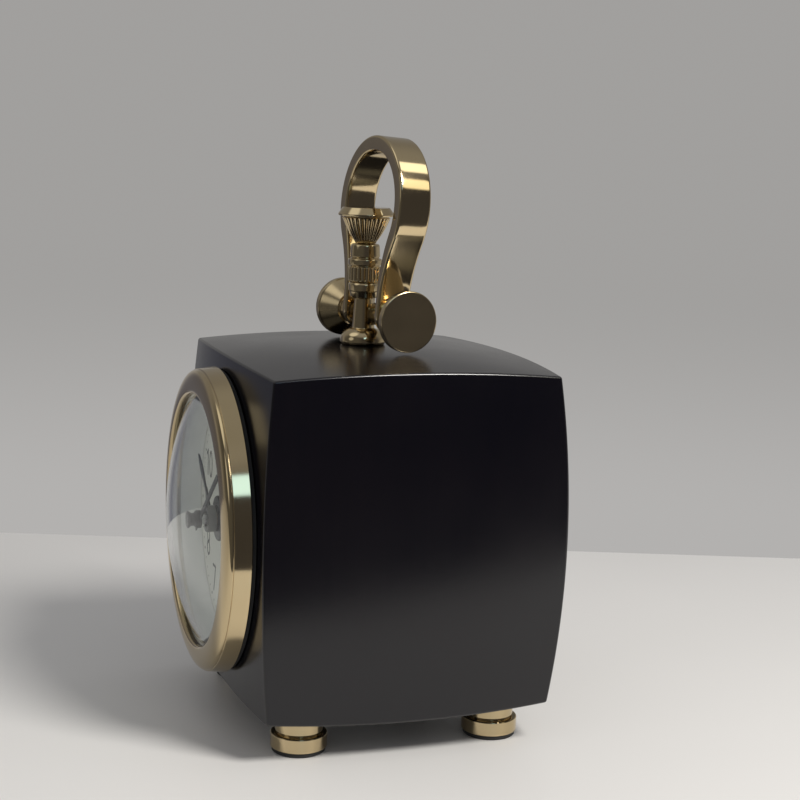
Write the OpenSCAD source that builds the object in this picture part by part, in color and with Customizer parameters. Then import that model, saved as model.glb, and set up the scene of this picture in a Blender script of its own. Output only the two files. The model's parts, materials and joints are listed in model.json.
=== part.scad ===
// Square desk clock with bowed lacquered faces, a brass bezel and a pocket-watch style handle.
// Units are millimetres. The dial faces -Y, +X is right as seen facing the dial, and +Z is up.
// The origin is on the table under the middle of the clock's overall box.

/* [Case] */
// Width of the case between its corners
case_w = 100; // [94:1:112]
// Depth of the case between its corners
case_d = 87.5; // [82:0.5:100]
// Height of the case between its corners
case_h = 100; // [94:1:112]
// Radius of the bow of the front face
front_bow_r = 500; // [380:5:800]
// Radius of the bow of the back face
back_bow_r = 320; // [280:5:700]
// Radius of the bow of the two side faces
side_bow_r = 710; // [500:10:1200]
// Radius of the bow of the top and bottom faces
top_bow_r = 550; // [450:10:1000]
// Thickness of the walls at the corners of the case
case_wall = 8; // [6.5:0.5:9]
// Width of the ledge that the back panel rests on
panel_ledge = 5.5; // [5:0.25:7]
// Depth of the ledge inside the case
ledge_t = 5; // [4:0.5:8]
// Thickness of the back panel at its corners
panel_t = 3; // [2.5:0.25:5]
// Corner radius of the back panel
panel_corner_r = 4; // [2:0.5:8]
// Shank radius of the back panel screws
panel_screw_r = 1.3; // [1:0.1:1.6]
// Head radius of the back panel screws
panel_screw_head_r = 2.4; // [2:0.1:2.6]

/* [Feet] */
// Height of the case corners above the table
foot_h = 12.7; // [11:0.1:18]
// Distance of each foot's axis from the case's side and from its front or back
foot_inset = 13.3; // [11.5:0.1:20]
// Radius of the ring round the bottom of a foot
foot_ring_r = 8.5; // [7.6:0.1:10]
// Height of that ring
foot_ring_h = 4.5; // [3:0.1:5.5]
// Radius of the upper stem of a foot
foot_stem_r = 7.2; // [6:0.1:7.4]
// Height of the groove between ring and stem
foot_groove_h = 0.6; // [0.4:0.1:1.5]
// Radius at the bottom of that groove
foot_groove_r = 6.5; // [5:0.1:7]
// Thickness of the rubber pad under a foot
pad_h = 1.3; // [1:0.1:2]
// Radius of the rubber pad
pad_r = 8; // [6:0.1:8.4]
// Depth of the round seat that a stem has in the case's bottom
foot_seat = 0.9; // [0.5:0.1:2]
// Shank radius of the foot screws
foot_screw_r = 2; // [1.5:0.1:2.5]
// Head radius of the foot screws
foot_screw_head_r = 3.8; // [3:0.1:4.5]
// Height of the foot screws' heads
foot_screw_head_h = 2.2; // [1.5:0.1:3]
// Length of a foot screw in the wood
foot_screw_bite = 6; // [4:0.5:7]

/* [Handle post] */
// Distance of the post's axis in front of the case's middle
post_forward = 2.2; // [0:0.1:5]
// Radius of the round flange at the foot of the post
flange_r = 7.2; // [5.5:0.1:9]
// Height of the flange's dome
flange_h = 5.1; // [3.5:0.1:5.6]
// Radius of the post's shaft under its cup
shaft_r = 2.9; // [2.6:0.1:3.4]
// Radius of the post's shaft at its foot
shaft_foot_r = 3.9; // [3:0.1:4.4]
// Height of the cup above the case
cup_from_h = 14.6; // [14:0.1:17]
// Height of the cup itself
cup_h = 4.7; // [4:0.1:6]
// Radius of the cup
cup_r = 4.9; // [4.4:0.1:5.6]
// Radius of the fluted sleeve
sleeve_r = 5.2; // [4.6:0.1:5.8]
// Height of the fluted stretch of the sleeve
sleeve_h = 5.3; // [4:0.1:7]
// Height of the plain ring above the flutes
sleeve_ring_h = 2.5; // [2:0.1:4]
// Height of the neck under the crown
neck_h = 4.3; // [3:0.1:7]
// Radius of the neck under the crown
neck_r = 4.4; // [3.2:0.1:4.8]
// Number of flutes round the sleeve
sleeve_flutes = 22; // [16:1:26]
// Radius of the spigot that carries the sleeve and the crown
spigot_r = 2; // [1.6:0.1:2.3]
// Radius of the threaded stud through the case's top
stud_r = 2.5; // [2:0.1:3]
// Radius of the nut on the stud
post_nut_r = 4.6; // [4:0.1:6]
// Height of the nut on the stud
post_nut_h = 4; // [3:0.1:6]
// Radius of the washer under that nut
post_washer_r = 7; // [5.5:0.1:9]

/* [Crown] */
// Radius of the crown's rim
crown_r = 8.8; // [7:0.1:9.4]
// Radius of the foot of the crown's fluted cone
crown_foot_r = 3.3; // [3:0.1:4.2]
// Width of the brim round the top of that cone
crown_brim = 1.3; // [0.6:0.1:2]
// Height of the crown's fluted cone
crown_cone_h = 8.4; // [6:0.1:10]
// Height of the crown's plain top
crown_top_h = 2.7; // [2:0.1:4]
// Number of flutes round the crown
crown_flutes = 28; // [20:1:30]
// Radius of one flute of the crown
crown_flute_r = 0.55; // [0.3:0.05:0.6]

/* [Bow and axle] */
// Distance of the axle behind the post's axis
axle_behind = 3.5; // [3:0.1:4.5]
// Height of the axle above the case's top
axle_h = 9.4; // [9.1:0.1:11]
// Turn of the axle about the upright axis, right end to the back
axle_yaw = 7.7; // [0:0.1:10]
// Radius of the axle
axle_r = 1.5; // [1.2:0.1:1.9]
// Radius of the lug behind the post that holds the axle
lug_r = 3.4; // [2.8:0.1:4]
// Distance from the clock's middle to the outer face of a knob
knob_reach = 24.4; // [23:0.1:28]
// Radius of a knob
knob_r = 9.3; // [7:0.1:9.4]
// Width of a knob's cylindrical rim
knob_rim_w = 2.5; // [1.5:0.1:4]
// Radius of a knob's neck
knob_neck_r = 4.4; // [3.5:0.1:6]
// Length of a knob's neck
knob_neck_l = 3.3; // [1:0.1:5]
// Thickness of the bow's band at the top of its loop
bow_t = 4.6; // [3.6:0.1:5.2]
// Thickness of the bow's legs at the axle
bow_leg_t = 2.4; // [2:0.1:3.6]
// Depth of the bow's band from front to back
bow_depth = 10.5; // [8:0.1:11]
// Distance of each leg's middle from the clock's middle at the axle
bow_leg = 11.6; // [11.3:0.1:12.6]
// Radius of the round loop at the middle of its band
bow_loop_r = 19.1; // [17:0.1:22]
// Height of the loop's centre above the axle
bow_loop_h = 33.6; // [32:0.1:38]
// Radius of the outward bend between leg and loop
bow_bend_r = 44; // [38:1:48]
// Backward lean of the bow at rest
bow_lean = 4; // [0:0.5:10]
// Thickness of the washer between the lug and a leg
bow_washer_t = 0.8; // [0.5:0.1:1]

/* [Bezel and glass] */
// Outer radius of the insert's cup
insert_r = 42; // [40.5:0.1:42]
// Thickness of the rubber grip between cup and bore
grip_t = 1.2; // [0.8:0.1:1.6]
// Outer radius of the bezel at its back edge
bezel_r = 47.1; // [46.5:0.1:50]
// Outer radius of the bezel at the groove behind its lip
bezel_front_r = 46.3; // [45:0.1:46.8]
// Width of the bezel's side band
band_w = 6.2; // [5.2:0.1:8]
// Radius of the bezel's opening
lip_r = 38.8; // [38.2:0.1:39.4]
// Radius of the lip's crest
lip_crest_r = 40.3; // [40:0.1:44]
// Forward bulge of the rounded lip
lip_bulge = 1.3; // [1:0.1:2.4]
// Depth of the fine groove behind the lip
groove_d = 0.5; // [0.2:0.1:0.8]
// Thickness of the gasket between bezel and case
gasket_t = 1.2; // [0.4:0.1:1.5]
// Outer radius of that gasket
gasket_r = 46.2; // [44.5:0.1:46.4]
// Rise of the glass dome
dome_rise = 8.4; // [6:0.1:10]
// Thickness of the glass
glass_t = 1.6; // [1.2:0.1:2]

/* [Dial and hands] */
// Distance of the dial's face behind the glass flange
dial_deep = 8.1; // [8:0.1:10]
// Radius of the dial that shows inside the reflector ring
dial_show_r = 35.4; // [33:0.1:36.5]
// Thickness of the dial
dial_t = 0.6; // [0.4:0.1:1]
// Thickness of the cup's floor
floor_t = 2; // [1.5:0.1:3]
// Thickness of the cup's wall
cup_wall = 1.6; // [1.2:0.1:2]
// Length of the cup's skirt behind its floor
skirt_l = 10; // [8:0.5:14]
// Hour that the hands show
shown_hour = 11; // [1:1:12]
// Minute that the hands show
shown_minute = 9; // [0:1:59]
// Length of the hour hand
hour_l = 21; // [18:0.5:24]
// Length of the minute hand
minute_l = 32; // [28:0.5:32.5]
// Width of the hour hand's stalk
stalk_w = 1.6; // [1:0.1:2]
// Greatest width of the hour hand's leaf
leaf_w = 3; // [2.4:0.1:4]
// Width of the minute hand
minute_w = 1.9; // [1:0.1:2.4]
// Radius of the boss that carries the hour hand
hour_boss_r = 4.1; // [3.6:0.1:4.6]
// Length of the boss that carries the hour hand
hour_boss_l = 2.7; // [2:0.1:3]
// Angle by which the hour hand leans forward
hour_tilt = 6.8; // [0:0.2:7]
// Height of the spool-shaped nut on the minute hand
hand_nut_h = 3.6; // [2.4:0.1:4]
// Thickness of the hands
hand_t = 0.5; // [0.3:0.1:0.6]
// Distance of the hour hand in front of the dial
hour_lift = 3.4; // [3.3:0.1:4.2]
// Distance of the minute hand in front of the dial
minute_lift = 7.2; // [7:0.1:8]
// Radius of the nut that holds the dial
dial_nut_r = 7; // [5.8:0.1:7.4]
// Height of the nut that holds the dial
dial_nut_h = 1.6; // [1.2:0.1:1.9]

/* [Movement] */
// Width of the movement's housing
move_w = 56; // [50:0.5:62]
// Clearance between the housing's corners and the cup round it
cup_room = 0.5; // [0.3:0.1:0.7]
// Least room for a contact at each end of the battery
contact_room = 2; // [1.6:0.1:2.4]
// Width of the stator's legs
stator_leg = 2.4; // [1.6:0.1:2.6]
// Depth of the movement's housing
move_depth = 18; // [17.8:0.1:19]
// Thickness of the housing's plates
plate_t = 1.5; // [1.5:0.1:1.7]
// Radius of the battery
battery_r = 7.2; // [7:0.1:7.3]
// Distance of the cover posts from the housing's sides
post_in = 2.2; // [2:0.1:2.6]
// Length of the battery's body
battery_l = 49; // [46:0.5:51]
// Radius of the threaded bush through the dial
bush_r = 4; // [3.9:0.05:4.2]
// Tooth size of the cannon pinion and minute wheel
work_module = 0.5; // [0.48:0.01:0.51]
// Thickness of the wheels
wheel_t = 1.2; // [0.8:0.1:1.2]
// Radius of the wheels' arbors
arbor_r = 0.8; // [0.7:0.05:0.85]
// Radius of the setting knob behind the cover
setting_r = 5; // [4:0.1:6]
// Height of the setting knob
setting_h = 4; // [3:0.1:6]
// Radius of the rotor's magnet
magnet_r = 2.4; // [2:0.1:2.5]
// Radius of the coil
coil_r = 3.2; // [2.6:0.1:3.4]

/* [Fits] */
// Radial clearance of a shaft that turns in a hole
slip = 0.05; // [0.03:0.01:0.08]
// Clearance between pieces that are pushed together
seat_gap = 0.02; // [0:0.01:0.05]
// Clearance between the rubber grip and the bore
grip_gap = 0.3; // [0.2:0.05:0.4]
// End play of whatever turns
end_play = 0.15; // [0.1:0.01:0.2]

/* [Hidden] */
$fn = 96;

lacquer = "#1d1512";
brass = "#c6a766";
steel = "#b9bcc0";
black = "#191919";
cream = "#e9e7df";

half_w = case_w / 2;
half_d = case_d / 2;
half_h = case_h / 2;

// Distance of a bowed face from the case's middle at two offsets p and q,
// where the face passes through the corner (pc, qc) at distance c
function bow_at(r, pc, qc, c, p, q) = c + sqrt(r * r - p * p - q * q) - sqrt(r * r - pc * pc - qc * qc);
function front_at(x, z) = bow_at(front_bow_r, half_w, half_h, half_d, x, z);
function back_at(x, z) = bow_at(back_bow_r, half_w, half_h, half_d, x, z);
function top_at(x, y) = bow_at(top_bow_r, half_w, half_d, half_h, x, y);

// Longer than any cut needs to be
through = 200;

// Places along the dial's axis, as distances in front of the case's middle
bore_r = insert_r + grip_t + grip_gap;
face_edge = front_at(bore_r, 0);
bezel_back = face_edge + seat_gap + gasket_t;
rim_v = bezel_back + band_w;
flange_top = rim_v - 0.7;
flange_back = flange_top - 1;
dome_base_r = lip_r - 0.2;
dome_r = (dome_base_r * dome_base_r + dome_rise * dome_rise) / (2 * dome_rise);
dome_v = flange_top + dome_rise - dome_r;
front_reach = flange_top + dome_rise;
back_reach = back_at(0, 0);
dial_v = flange_top - dial_deep;
floor_v = dial_v - dial_t;
move_front = floor_v - floor_t;
move_back = move_front - move_depth;
plate_in = move_front - plate_t;
cover_in = move_back + plate_t;
cup_in_r = insert_r - cup_wall;
bore_from = move_front - skirt_l - 1;

// The clock's frame
centre_y = (front_reach - back_reach) / 2;
centre_z = foot_h + half_h;

// Inside of the case
cavity_x = half_w - case_wall;
cavity_z = half_h - case_wall;
cavity_front = half_d - case_wall;
panel_seat = back_at(cavity_x, cavity_z) - panel_t;
panel_half = cavity_x - 2;
panel_screw_at = panel_half - panel_ledge / 2;

// Post, with heights above the case's top
post_seat = top_at(0, post_forward);
sleeve_from_h = cup_from_h + cup_h;
ring_from_h = sleeve_from_h + sleeve_h;
neck_from_h = ring_from_h + sleeve_ring_h;
crown_from_h = neck_from_h + neck_h;
spigot_top_h = crown_from_h + crown_cone_h - 1;
top_wall = post_seat - cavity_z;

// Places along the axle, as distances from its middle
leg_in = bow_leg - bow_leg_t / 2;
leg_out = bow_leg + bow_leg_t / 2;
washer_from = leg_in - end_play - bow_washer_t;
lug_half = washer_from - seat_gap;
knob_from = leg_out + end_play;
eye_r = bow_depth / 2;
// Where the outward bend of a leg starts above the axle
bend_x = bow_leg + bow_bend_r;
bend_h = bow_loop_h - sqrt(pow(bow_loop_r + bow_bend_r, 2) - bend_x * bend_x);
bend_angle = atan2(bow_loop_h - bend_h, bend_x);

// Feet
foot_seat_z = centre_z - top_at(half_w - foot_inset, half_d - foot_inset) + foot_seat;
foot_x = half_w - foot_inset;
foot_y = half_d - foot_inset;

// Wheels: teeth, tooth sizes and places as seen facing the dial
cannon_teeth = 12;
minute_teeth = 36;
small_teeth = 10;
hour_teeth = 40;
centre_teeth = 60;
third_teeth = 64;
leaf_teeth = 8;
train_module = 0.34;
rotor_module = 0.3;
work_distance = (cannon_teeth + minute_teeth) / 2 * work_module;
hour_module = 2 * work_distance / (small_teeth + hour_teeth);
third_distance = (centre_teeth + leaf_teeth) / 2 * train_module;
rotor_distance = (third_teeth + leaf_teeth) / 2 * rotor_module;
minute_dir = 60;
setting_dir = -10;
third_dir = 180;
rotor_dir = 120;
minute_at = work_distance * [cos(minute_dir), sin(minute_dir)];
setting_at = minute_at + work_distance * [cos(setting_dir), sin(setting_dir)];
third_at = third_distance * [cos(third_dir), sin(third_dir)];
rotor_at = third_at + rotor_distance * [cos(rotor_dir), sin(rotor_dir)];
// Distances of the wheels' layers in front of the case's middle
hour_layer = plate_in - 2.3;
work_layer = hour_layer - 2.5;
centre_layer = work_layer - 3.4;
third_layer = centre_layer - 2.5;
cannon_r = 1.7;
hour_tube_r = 2.5;
pivot_r = 0.5;
// Height of a tooth above the pitch circle, in tooth sizes
tooth_out = 0.85;
pivot_l = 1;

// Battery bay below the wheels
bay_wall_t = 0.8;
wheel_room = 0.3;
battery_room = 0.2;
centre_tip_r = (centre_teeth / 2 + tooth_out) * train_module;
bay_wall_z = -centre_tip_r - wheel_room - bay_wall_t;
battery_z = bay_wall_z - battery_room - battery_r;
battery_v = (plate_in + cover_in) / 2;
bay_low = battery_z - battery_r - battery_room - plate_t;
bay_half = max(move_w / 2, battery_l / 2 + contact_room + plate_t);
contact_gap = bay_half - plate_t - battery_l / 2;
contact_w = 8;
contact_t = 0.4;

hour_hand_v = dial_v + hour_lift;
minute_hand_v = dial_v + minute_lift;
// Parts on the middle of the dial: washer, hour hand's boss, end of the movement's bush
washer_h = 0.6;
hour_boss_from = hour_hand_v - 0.5;
bush_top = hour_boss_from - 0.3;
hour_angle = (shown_hour + shown_minute / 60) * 30;
minute_angle = shown_minute * 6;

// Frames in which the pieces are drawn
module at_case() translate([0, centre_y, centre_z]) children();
// Local x is right, y is up and z comes forward out of the dial
module at_dial() at_case() rotate([90, 0, 0]) children();
module at_post() at_case() translate([0, -post_forward, post_seat]) children();
// Local x runs along the axle
module at_axle() at_case() translate([0, axle_behind - post_forward, post_seat + axle_h])
    rotate([0, 0, axle_yaw]) children();
// Local z runs along the axle, outward on the named side
module along_axle(side) at_axle() rotate([0, 90 * side, 0]) children();
module four_ways(x, y) for (sx = [-1, 1], sy = [-1, 1]) translate([sx * x, sy * y, 0]) children();

module ring(r_out, r_in, h) difference() {
    cylinder(r = r_out, h = h);
    translate([0, 0, -1]) cylinder(r = r_in, h = h + 2);
}

// Case
module bow_ball(r, pc, qc, c, axis) {
    away = sqrt(r * r - pc * pc - qc * qc) - c;
    translate(-away * axis) sphere(r = r, $fn = 360);
}

module bowed_block() intersection() {
    cube([case_w + 40, case_d + 40, case_h + 40], center = true);
    bow_ball(front_bow_r, half_w, half_h, half_d, [0, -1, 0]);
    bow_ball(back_bow_r, half_w, half_h, half_d, [0, 1, 0]);
    bow_ball(side_bow_r, half_d, half_h, half_w, [1, 0, 0]);
    bow_ball(side_bow_r, half_d, half_h, half_w, [-1, 0, 0]);
    bow_ball(top_bow_r, half_w, half_d, half_h, [0, 0, 1]);
    bow_ball(top_bow_r, half_w, half_d, half_h, [0, 0, -1]);
}

// Upright block with rounded corners, from y_from to y_to
module panel_block(half, corner, y_from, y_to) translate([0, y_to, 0]) rotate([90, 0, 0])
    linear_extrude(y_to - y_from) union() {
        square([2 * half, 2 * (half - corner)], center = true);
        square([2 * (half - corner), 2 * half], center = true);
        four_ways(half - corner, half - corner) circle(r = corner);
    }

module panel_screw_holes(r) for (sx = [-1, 1], sz = [-1, 1])
    translate([sx * panel_screw_at, panel_seat - ledge_t + 1, sz * panel_screw_at])
        rotate([-90, 0, 0]) cylinder(r = r, h = 30, $fn = 32);

module case_shell() color(lacquer) at_case() difference() {
    bowed_block();
    translate([-cavity_x, -cavity_front, -cavity_z])
        cube([2 * cavity_x, cavity_front + panel_seat - ledge_t, 2 * cavity_z]);
    rotate([90, 0, 0]) translate([0, 0, bore_from]) cylinder(r = bore_r, h = through, $fn = 180);
    panel_block(panel_half + 0.2, panel_corner_r + 0.2, panel_seat, half_d + 30);
    panel_block(panel_half - panel_ledge, panel_corner_r, panel_seat - ledge_t - 1, panel_seat + 1);
    panel_screw_holes(panel_screw_r);
    translate([0, -post_forward, 0]) cylinder(r = stud_r + 0.1, h = half_h + 30);
    four_ways(foot_x, foot_y) translate([0, 0, -centre_z]) {
        cylinder(r = foot_stem_r + seat_gap, h = foot_seat_z);
        cylinder(r = foot_screw_r + seat_gap, h = foot_seat_z + foot_screw_bite + 0.3);
    }
}

module back_panel() color(lacquer) at_case() difference() {
    intersection() {
        bowed_block();
        panel_block(panel_half, panel_corner_r, panel_seat, half_d + 30);
    }
    for (sx = [-1, 1], sz = [-1, 1])
        translate([sx * panel_screw_at, 0, sz * panel_screw_at]) rotate([-90, 0, 0]) {
            cylinder(r = panel_screw_r, h = half_d + 30, $fn = 32);
            translate([0, 0, panel_head_y]) cylinder(r = panel_screw_head_r + 0.1, h = 30);
        }
}

panel_head_h = 1.6;
panel_head_y = back_at(panel_screw_at + panel_screw_head_r, panel_screw_at + panel_screw_head_r)
    - panel_head_h;

module back_panel_screws() color(brass) at_case() for (sx = [-1, 1], sz = [-1, 1])
    translate([sx * panel_screw_at, panel_head_y, sz * panel_screw_at]) rotate([-90, 0, 0])
        difference() {
            union() {
                cylinder(r = panel_screw_head_r, h = panel_head_h - 0.2);
                translate([0, 0, panel_seat - ledge_t + 1 - panel_head_y])
                    cylinder(r = panel_screw_r, h = panel_head_y - panel_seat + ledge_t - 1);
            }
            translate([-panel_screw_head_r, -0.3, panel_head_h - 0.9])
                cube([2 * panel_screw_head_r, 0.6, 1]);
        }

// Feet
module foot_place(sx, sy) translate([sx * foot_x, centre_y + sy * foot_y, 0]) children();

module foot() {
    groove_z = pad_h + foot_ring_h;
    head_z = pad_h + foot_screw_head_h;
    chamfer = 0.4;
    difference() {
        union() {
            rotate_extrude() polygon([[0, pad_h], [foot_ring_r - chamfer, pad_h],
                [foot_ring_r, pad_h + chamfer], [foot_ring_r, groove_z - chamfer],
                [foot_ring_r - chamfer, groove_z], [0, groove_z]]);
            cylinder(r = foot_groove_r, h = groove_z + foot_groove_h);
            translate([0, 0, groove_z + foot_groove_h])
                cylinder(r = foot_stem_r, h = foot_seat_z - groove_z - foot_groove_h);
        }
        translate([0, 0, -1]) cylinder(r = pad_r + 1, h = 1 + pad_h);
        translate([0, 0, pad_h - 1]) cylinder(r = foot_screw_head_r + 0.1, h = foot_screw_head_h + 1);
        translate([0, 0, head_z - 1]) cylinder(r = foot_screw_r, h = foot_seat_z);
    }
}

module foot_pad() cylinder(r = pad_r, h = pad_h);

module foot_front_left() color(brass) foot_place(-1, -1) foot();
module foot_front_right() color(brass) foot_place(1, -1) foot();
module foot_back_left() color(brass) foot_place(-1, 1) foot();
module foot_back_right() color(brass) foot_place(1, 1) foot();
module foot_pad_front_left() color(black) foot_place(-1, -1) foot_pad();
module foot_pad_front_right() color(black) foot_place(1, -1) foot_pad();
module foot_pad_back_left() color(black) foot_place(-1, 1) foot_pad();
module foot_pad_back_right() color(black) foot_place(1, 1) foot_pad();

module foot_screws() color(steel) for (sx = [-1, 1], sy = [-1, 1]) foot_place(sx, sy) {
    translate([0, 0, pad_h + 0.2]) cylinder(r = foot_screw_head_r, h = foot_screw_head_h - 0.2);
    translate([0, 0, pad_h + foot_screw_head_h - 0.5])
        cylinder(r = foot_screw_r, h = foot_seat_z + foot_screw_bite - pad_h - foot_screw_head_h + 0.5);
}

// Handle post
module handle_post() color(brass) difference() {
    edge_h = 1;
    lip_h = cup_h * 0.45;
    union() {
        at_post() {
            // Flange with a rounded shoulder that runs up to the shaft
            cylinder(r = flange_r, h = edge_h);
            rotate_extrude() intersection() {
                translate([shaft_r, edge_h]) scale([1, (flange_h - edge_h) / (flange_r - shaft_r)])
                    circle(r = flange_r - shaft_r);
                square([flange_r, flange_h]);
            }
            cylinder(r1 = shaft_foot_r, r2 = shaft_r, h = cup_from_h);
            cylinder(r = shaft_r, h = cup_from_h + 1);
            translate([0, 0, cup_from_h]) cylinder(r = cup_r - 0.3, h = lip_h);
            translate([0, 0, cup_from_h + lip_h])
                cylinder(r1 = cup_r + 0.3, r2 = cup_r - 0.2, h = cup_h - lip_h);
            translate([0, 0, cup_from_h]) cylinder(r = spigot_r, h = spigot_top_h - cup_from_h);
            translate([0, 0, -top_wall - post_nut_h - 3])
                cylinder(r = stud_r, h = top_wall + post_nut_h + 4);
        }
        along_axle(1) translate([0, 0, -lug_half]) cylinder(r = lug_r, h = 2 * lug_half);
    }
    along_axle(1) translate([0, 0, -lug_half - 1]) cylinder(r = axle_r + seat_gap, h = 2 * lug_half + 2);
}

module post_washer() color(steel) at_post() translate([0, 0, -top_wall - 1])
    ring(post_washer_r, stud_r + 0.1, 1);

module post_nut() color(steel) at_post() translate([0, 0, -top_wall - 1 - post_nut_h])
    difference() {
        cylinder(r = post_nut_r, h = post_nut_h, $fn = 6);
        translate([0, 0, -1]) cylinder(r = stud_r + seat_gap, h = post_nut_h + 2, $fn = 48);
    }

module fluted_sleeve() color(brass) at_post() difference() {
    union() {
        translate([0, 0, sleeve_from_h]) cylinder(r = sleeve_r, h = sleeve_h - 0.6);
        translate([0, 0, sleeve_from_h]) cylinder(r = sleeve_r - 0.7, h = sleeve_h);
        translate([0, 0, ring_from_h]) cylinder(r = sleeve_r + 0.1, h = sleeve_ring_h - 0.5);
        translate([0, 0, ring_from_h]) cylinder(r = neck_r - 0.3, h = sleeve_ring_h);
        translate([0, 0, neck_from_h]) cylinder(r1 = neck_r + 0.3, r2 = neck_r, h = neck_h);
    }
    translate([0, 0, sleeve_from_h - 1])
        cylinder(r = spigot_r + seat_gap, h = crown_from_h - sleeve_from_h + 2);
    for (i = [0 : sleeve_flutes - 1]) rotate([0, 0, i * 360 / sleeve_flutes])
        translate([sleeve_r + 0.15, 0, sleeve_from_h + 0.5]) cylinder(r = 0.5, h = sleeve_h - 1.6, $fn = 24);
}

module crown() color(brass) at_post() translate([0, 0, crown_from_h]) difference() {
    cone_r = crown_r - crown_brim;
    tilt = atan((cone_r - crown_foot_r) / crown_cone_h);
    rotate_extrude() polygon([[0, 0], [crown_foot_r, 0], [cone_r, crown_cone_h],
        [crown_r - 0.2, crown_cone_h], [crown_r, crown_cone_h + 0.2], [crown_r, crown_cone_h + 0.5],
        [crown_r - 1.5, crown_cone_h + crown_top_h], [0, crown_cone_h + crown_top_h]]);
    translate([0, 0, -1]) cylinder(r = spigot_r + seat_gap, h = crown_cone_h + 0.5);
    for (i = [0 : crown_flutes - 1]) rotate([0, 0, (i + 0.5) * 360 / crown_flutes])
        translate([crown_foot_r + crown_flute_r * 0.6, 0, 0]) rotate([0, tilt, 0])
            cylinder(r = crown_flute_r, h = (crown_cone_h - 0.6) / cos(tilt), $fn = 24);
}

// Axle, knobs and bow
axle_half = knob_reach - knob_rim_w - 1;

module handle_axle() color(brass) along_axle(1) translate([0, 0, -axle_half])
    cylinder(r = axle_r, h = 2 * axle_half);

module knob(side) along_axle(side) translate([0, 0, knob_from]) difference() {
    w = knob_reach - knob_from;
    cone_w = w - knob_rim_w;
    edge = 0.5;
    rotate_extrude() polygon([[0, 0], [knob_neck_r, 0], [knob_neck_r, knob_neck_l],
        [knob_neck_r + 0.7, knob_neck_l], [knob_r - 0.4, cone_w], [knob_r, cone_w + 0.3], [knob_r, w - edge],
        [knob_r - edge * 0.3, w - edge * 0.3], [knob_r - edge, w], [0, w]]);
    translate([0, 0, -1]) cylinder(r = axle_r + seat_gap, h = axle_half - knob_from + 1.3);
}

module knob_left() color(brass) knob(-1);
module knob_right() color(brass) knob(1);

module bow_washers() color(brass) for (side = [-1, 1])
    along_axle(side) translate([0, 0, washer_from]) ring(lug_r + 0.4, axle_r + slip, bow_washer_t);

// Half the band's thickness at a height above the axle, where its legs taper
function bow_half_t(h) = let (k = min(1, max(0, h / (bow_loop_h - 3))))
    (bow_leg_t + (bow_t - bow_leg_t) * k * k * (3 - 2 * k)) / 2;

// Right half of the band's outer edge (side 1) or inner edge (side -1): a straight leg,
// the outward bend and a quarter more of the round loop
function bow_edge(side) = concat(
    [[bow_leg + side * bow_leg_t / 2, -eye_r], [bow_leg + side * bow_leg_t / 2, 0]],
    [for (i = [0 : 14]) let (a = 180 - bend_angle * i / 14,
        r = bow_bend_r - side * bow_half_t(bend_h + bow_bend_r * sin(a)))
        [bend_x + r * cos(a), bend_h + r * sin(a)]],
    [for (i = [1 : 30]) let (a = -bend_angle + (90 + bend_angle) * i / 30,
        r = bow_loop_r + side * bow_half_t(bow_loop_h + bow_loop_r * sin(a)))
        [r * cos(a), bow_loop_h + r * sin(a)]]);

function mirrored(points) = [for (i = [len(points) - 2 : -1 : 0]) [-points[i][0], points[i][1]]];
function reversed(points) = [for (i = [len(points) - 1 : -1 : 0]) points[i]];

// Outline of the bow, with its axle at the origin
module bow_outline() {
    outer = bow_edge(1);
    inner = bow_edge(-1);
    polygon(concat(outer, mirrored(outer), reversed(concat(inner, mirrored(inner)))));
}

module bow() color(brass) at_axle() rotate([-bow_lean, 0, 0]) difference() {
    rotate([90, 0, 0]) linear_extrude(bow_depth, center = true) bow_outline();
    // Round ends about the axle
    difference() {
        translate([-40, -20, -20]) cube([80, 40, 20]);
        translate([-41, 0, 0]) rotate([0, 90, 0]) cylinder(r = eye_r, h = 82);
    }
    translate([-41, 0, 0]) rotate([0, 90, 0]) cylinder(r = axle_r + slip, h = 82, $fn = 48);
}

// Bezel and glass
module bezel() color(brass) at_dial() rotate_extrude($fn = 180) {
    lip_out_r = bezel_front_r - groove_d;
    lip_from = rim_v + 0.2;
    polygon([[insert_r + seat_gap, bezel_back], [bezel_r - 0.5, bezel_back],
        [bezel_r, bezel_back + 0.6], [bezel_front_r, rim_v],
        [lip_r, rim_v], [lip_r, flange_top + seat_gap],
        [cup_in_r + 0.4, flange_top + seat_gap], [cup_in_r + 0.4, flange_back],
        [insert_r + seat_gap, flange_back]]);
    // Lip in front of the fine groove: a long rounded slope to its crest, then a short one inward
    polygon(concat([[lip_out_r, rim_v - 0.4]],
        [for (i = [0 : 12]) let (t = 90 - 7.5 * i)
            [lip_crest_r + (lip_out_r - lip_crest_r) * sin(t), lip_from + lip_bulge * cos(t)]],
        [for (i = [1 : 8]) let (t = 90 * i / 8)
            [lip_crest_r - (lip_crest_r - lip_r) * sin(t), lip_from + lip_bulge - 1 + cos(t)]],
        [[lip_r, rim_v - 0.4]]));
}

module bezel_gasket() color(black) at_dial() translate([0, 0, face_edge + seat_gap])
    ring(gasket_r, insert_r + seat_gap, gasket_t - seat_gap, $fn = 180);

module crystal() color("#dfe8ea", 0.35) at_dial() rotate_extrude($fn = 180) {
    intersection() {
        translate([0, dome_v]) difference() {
            circle(r = dome_r, $fn = 720);
            circle(r = dome_r - glass_t, $fn = 720);
        }
        translate([0, flange_back]) square([dome_base_r, dome_rise + 5]);
    }
    translate([dome_base_r - 0.2, flange_back]) square([cup_in_r + 0.2 - dome_base_r + 0.2, 1]);
}

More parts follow.
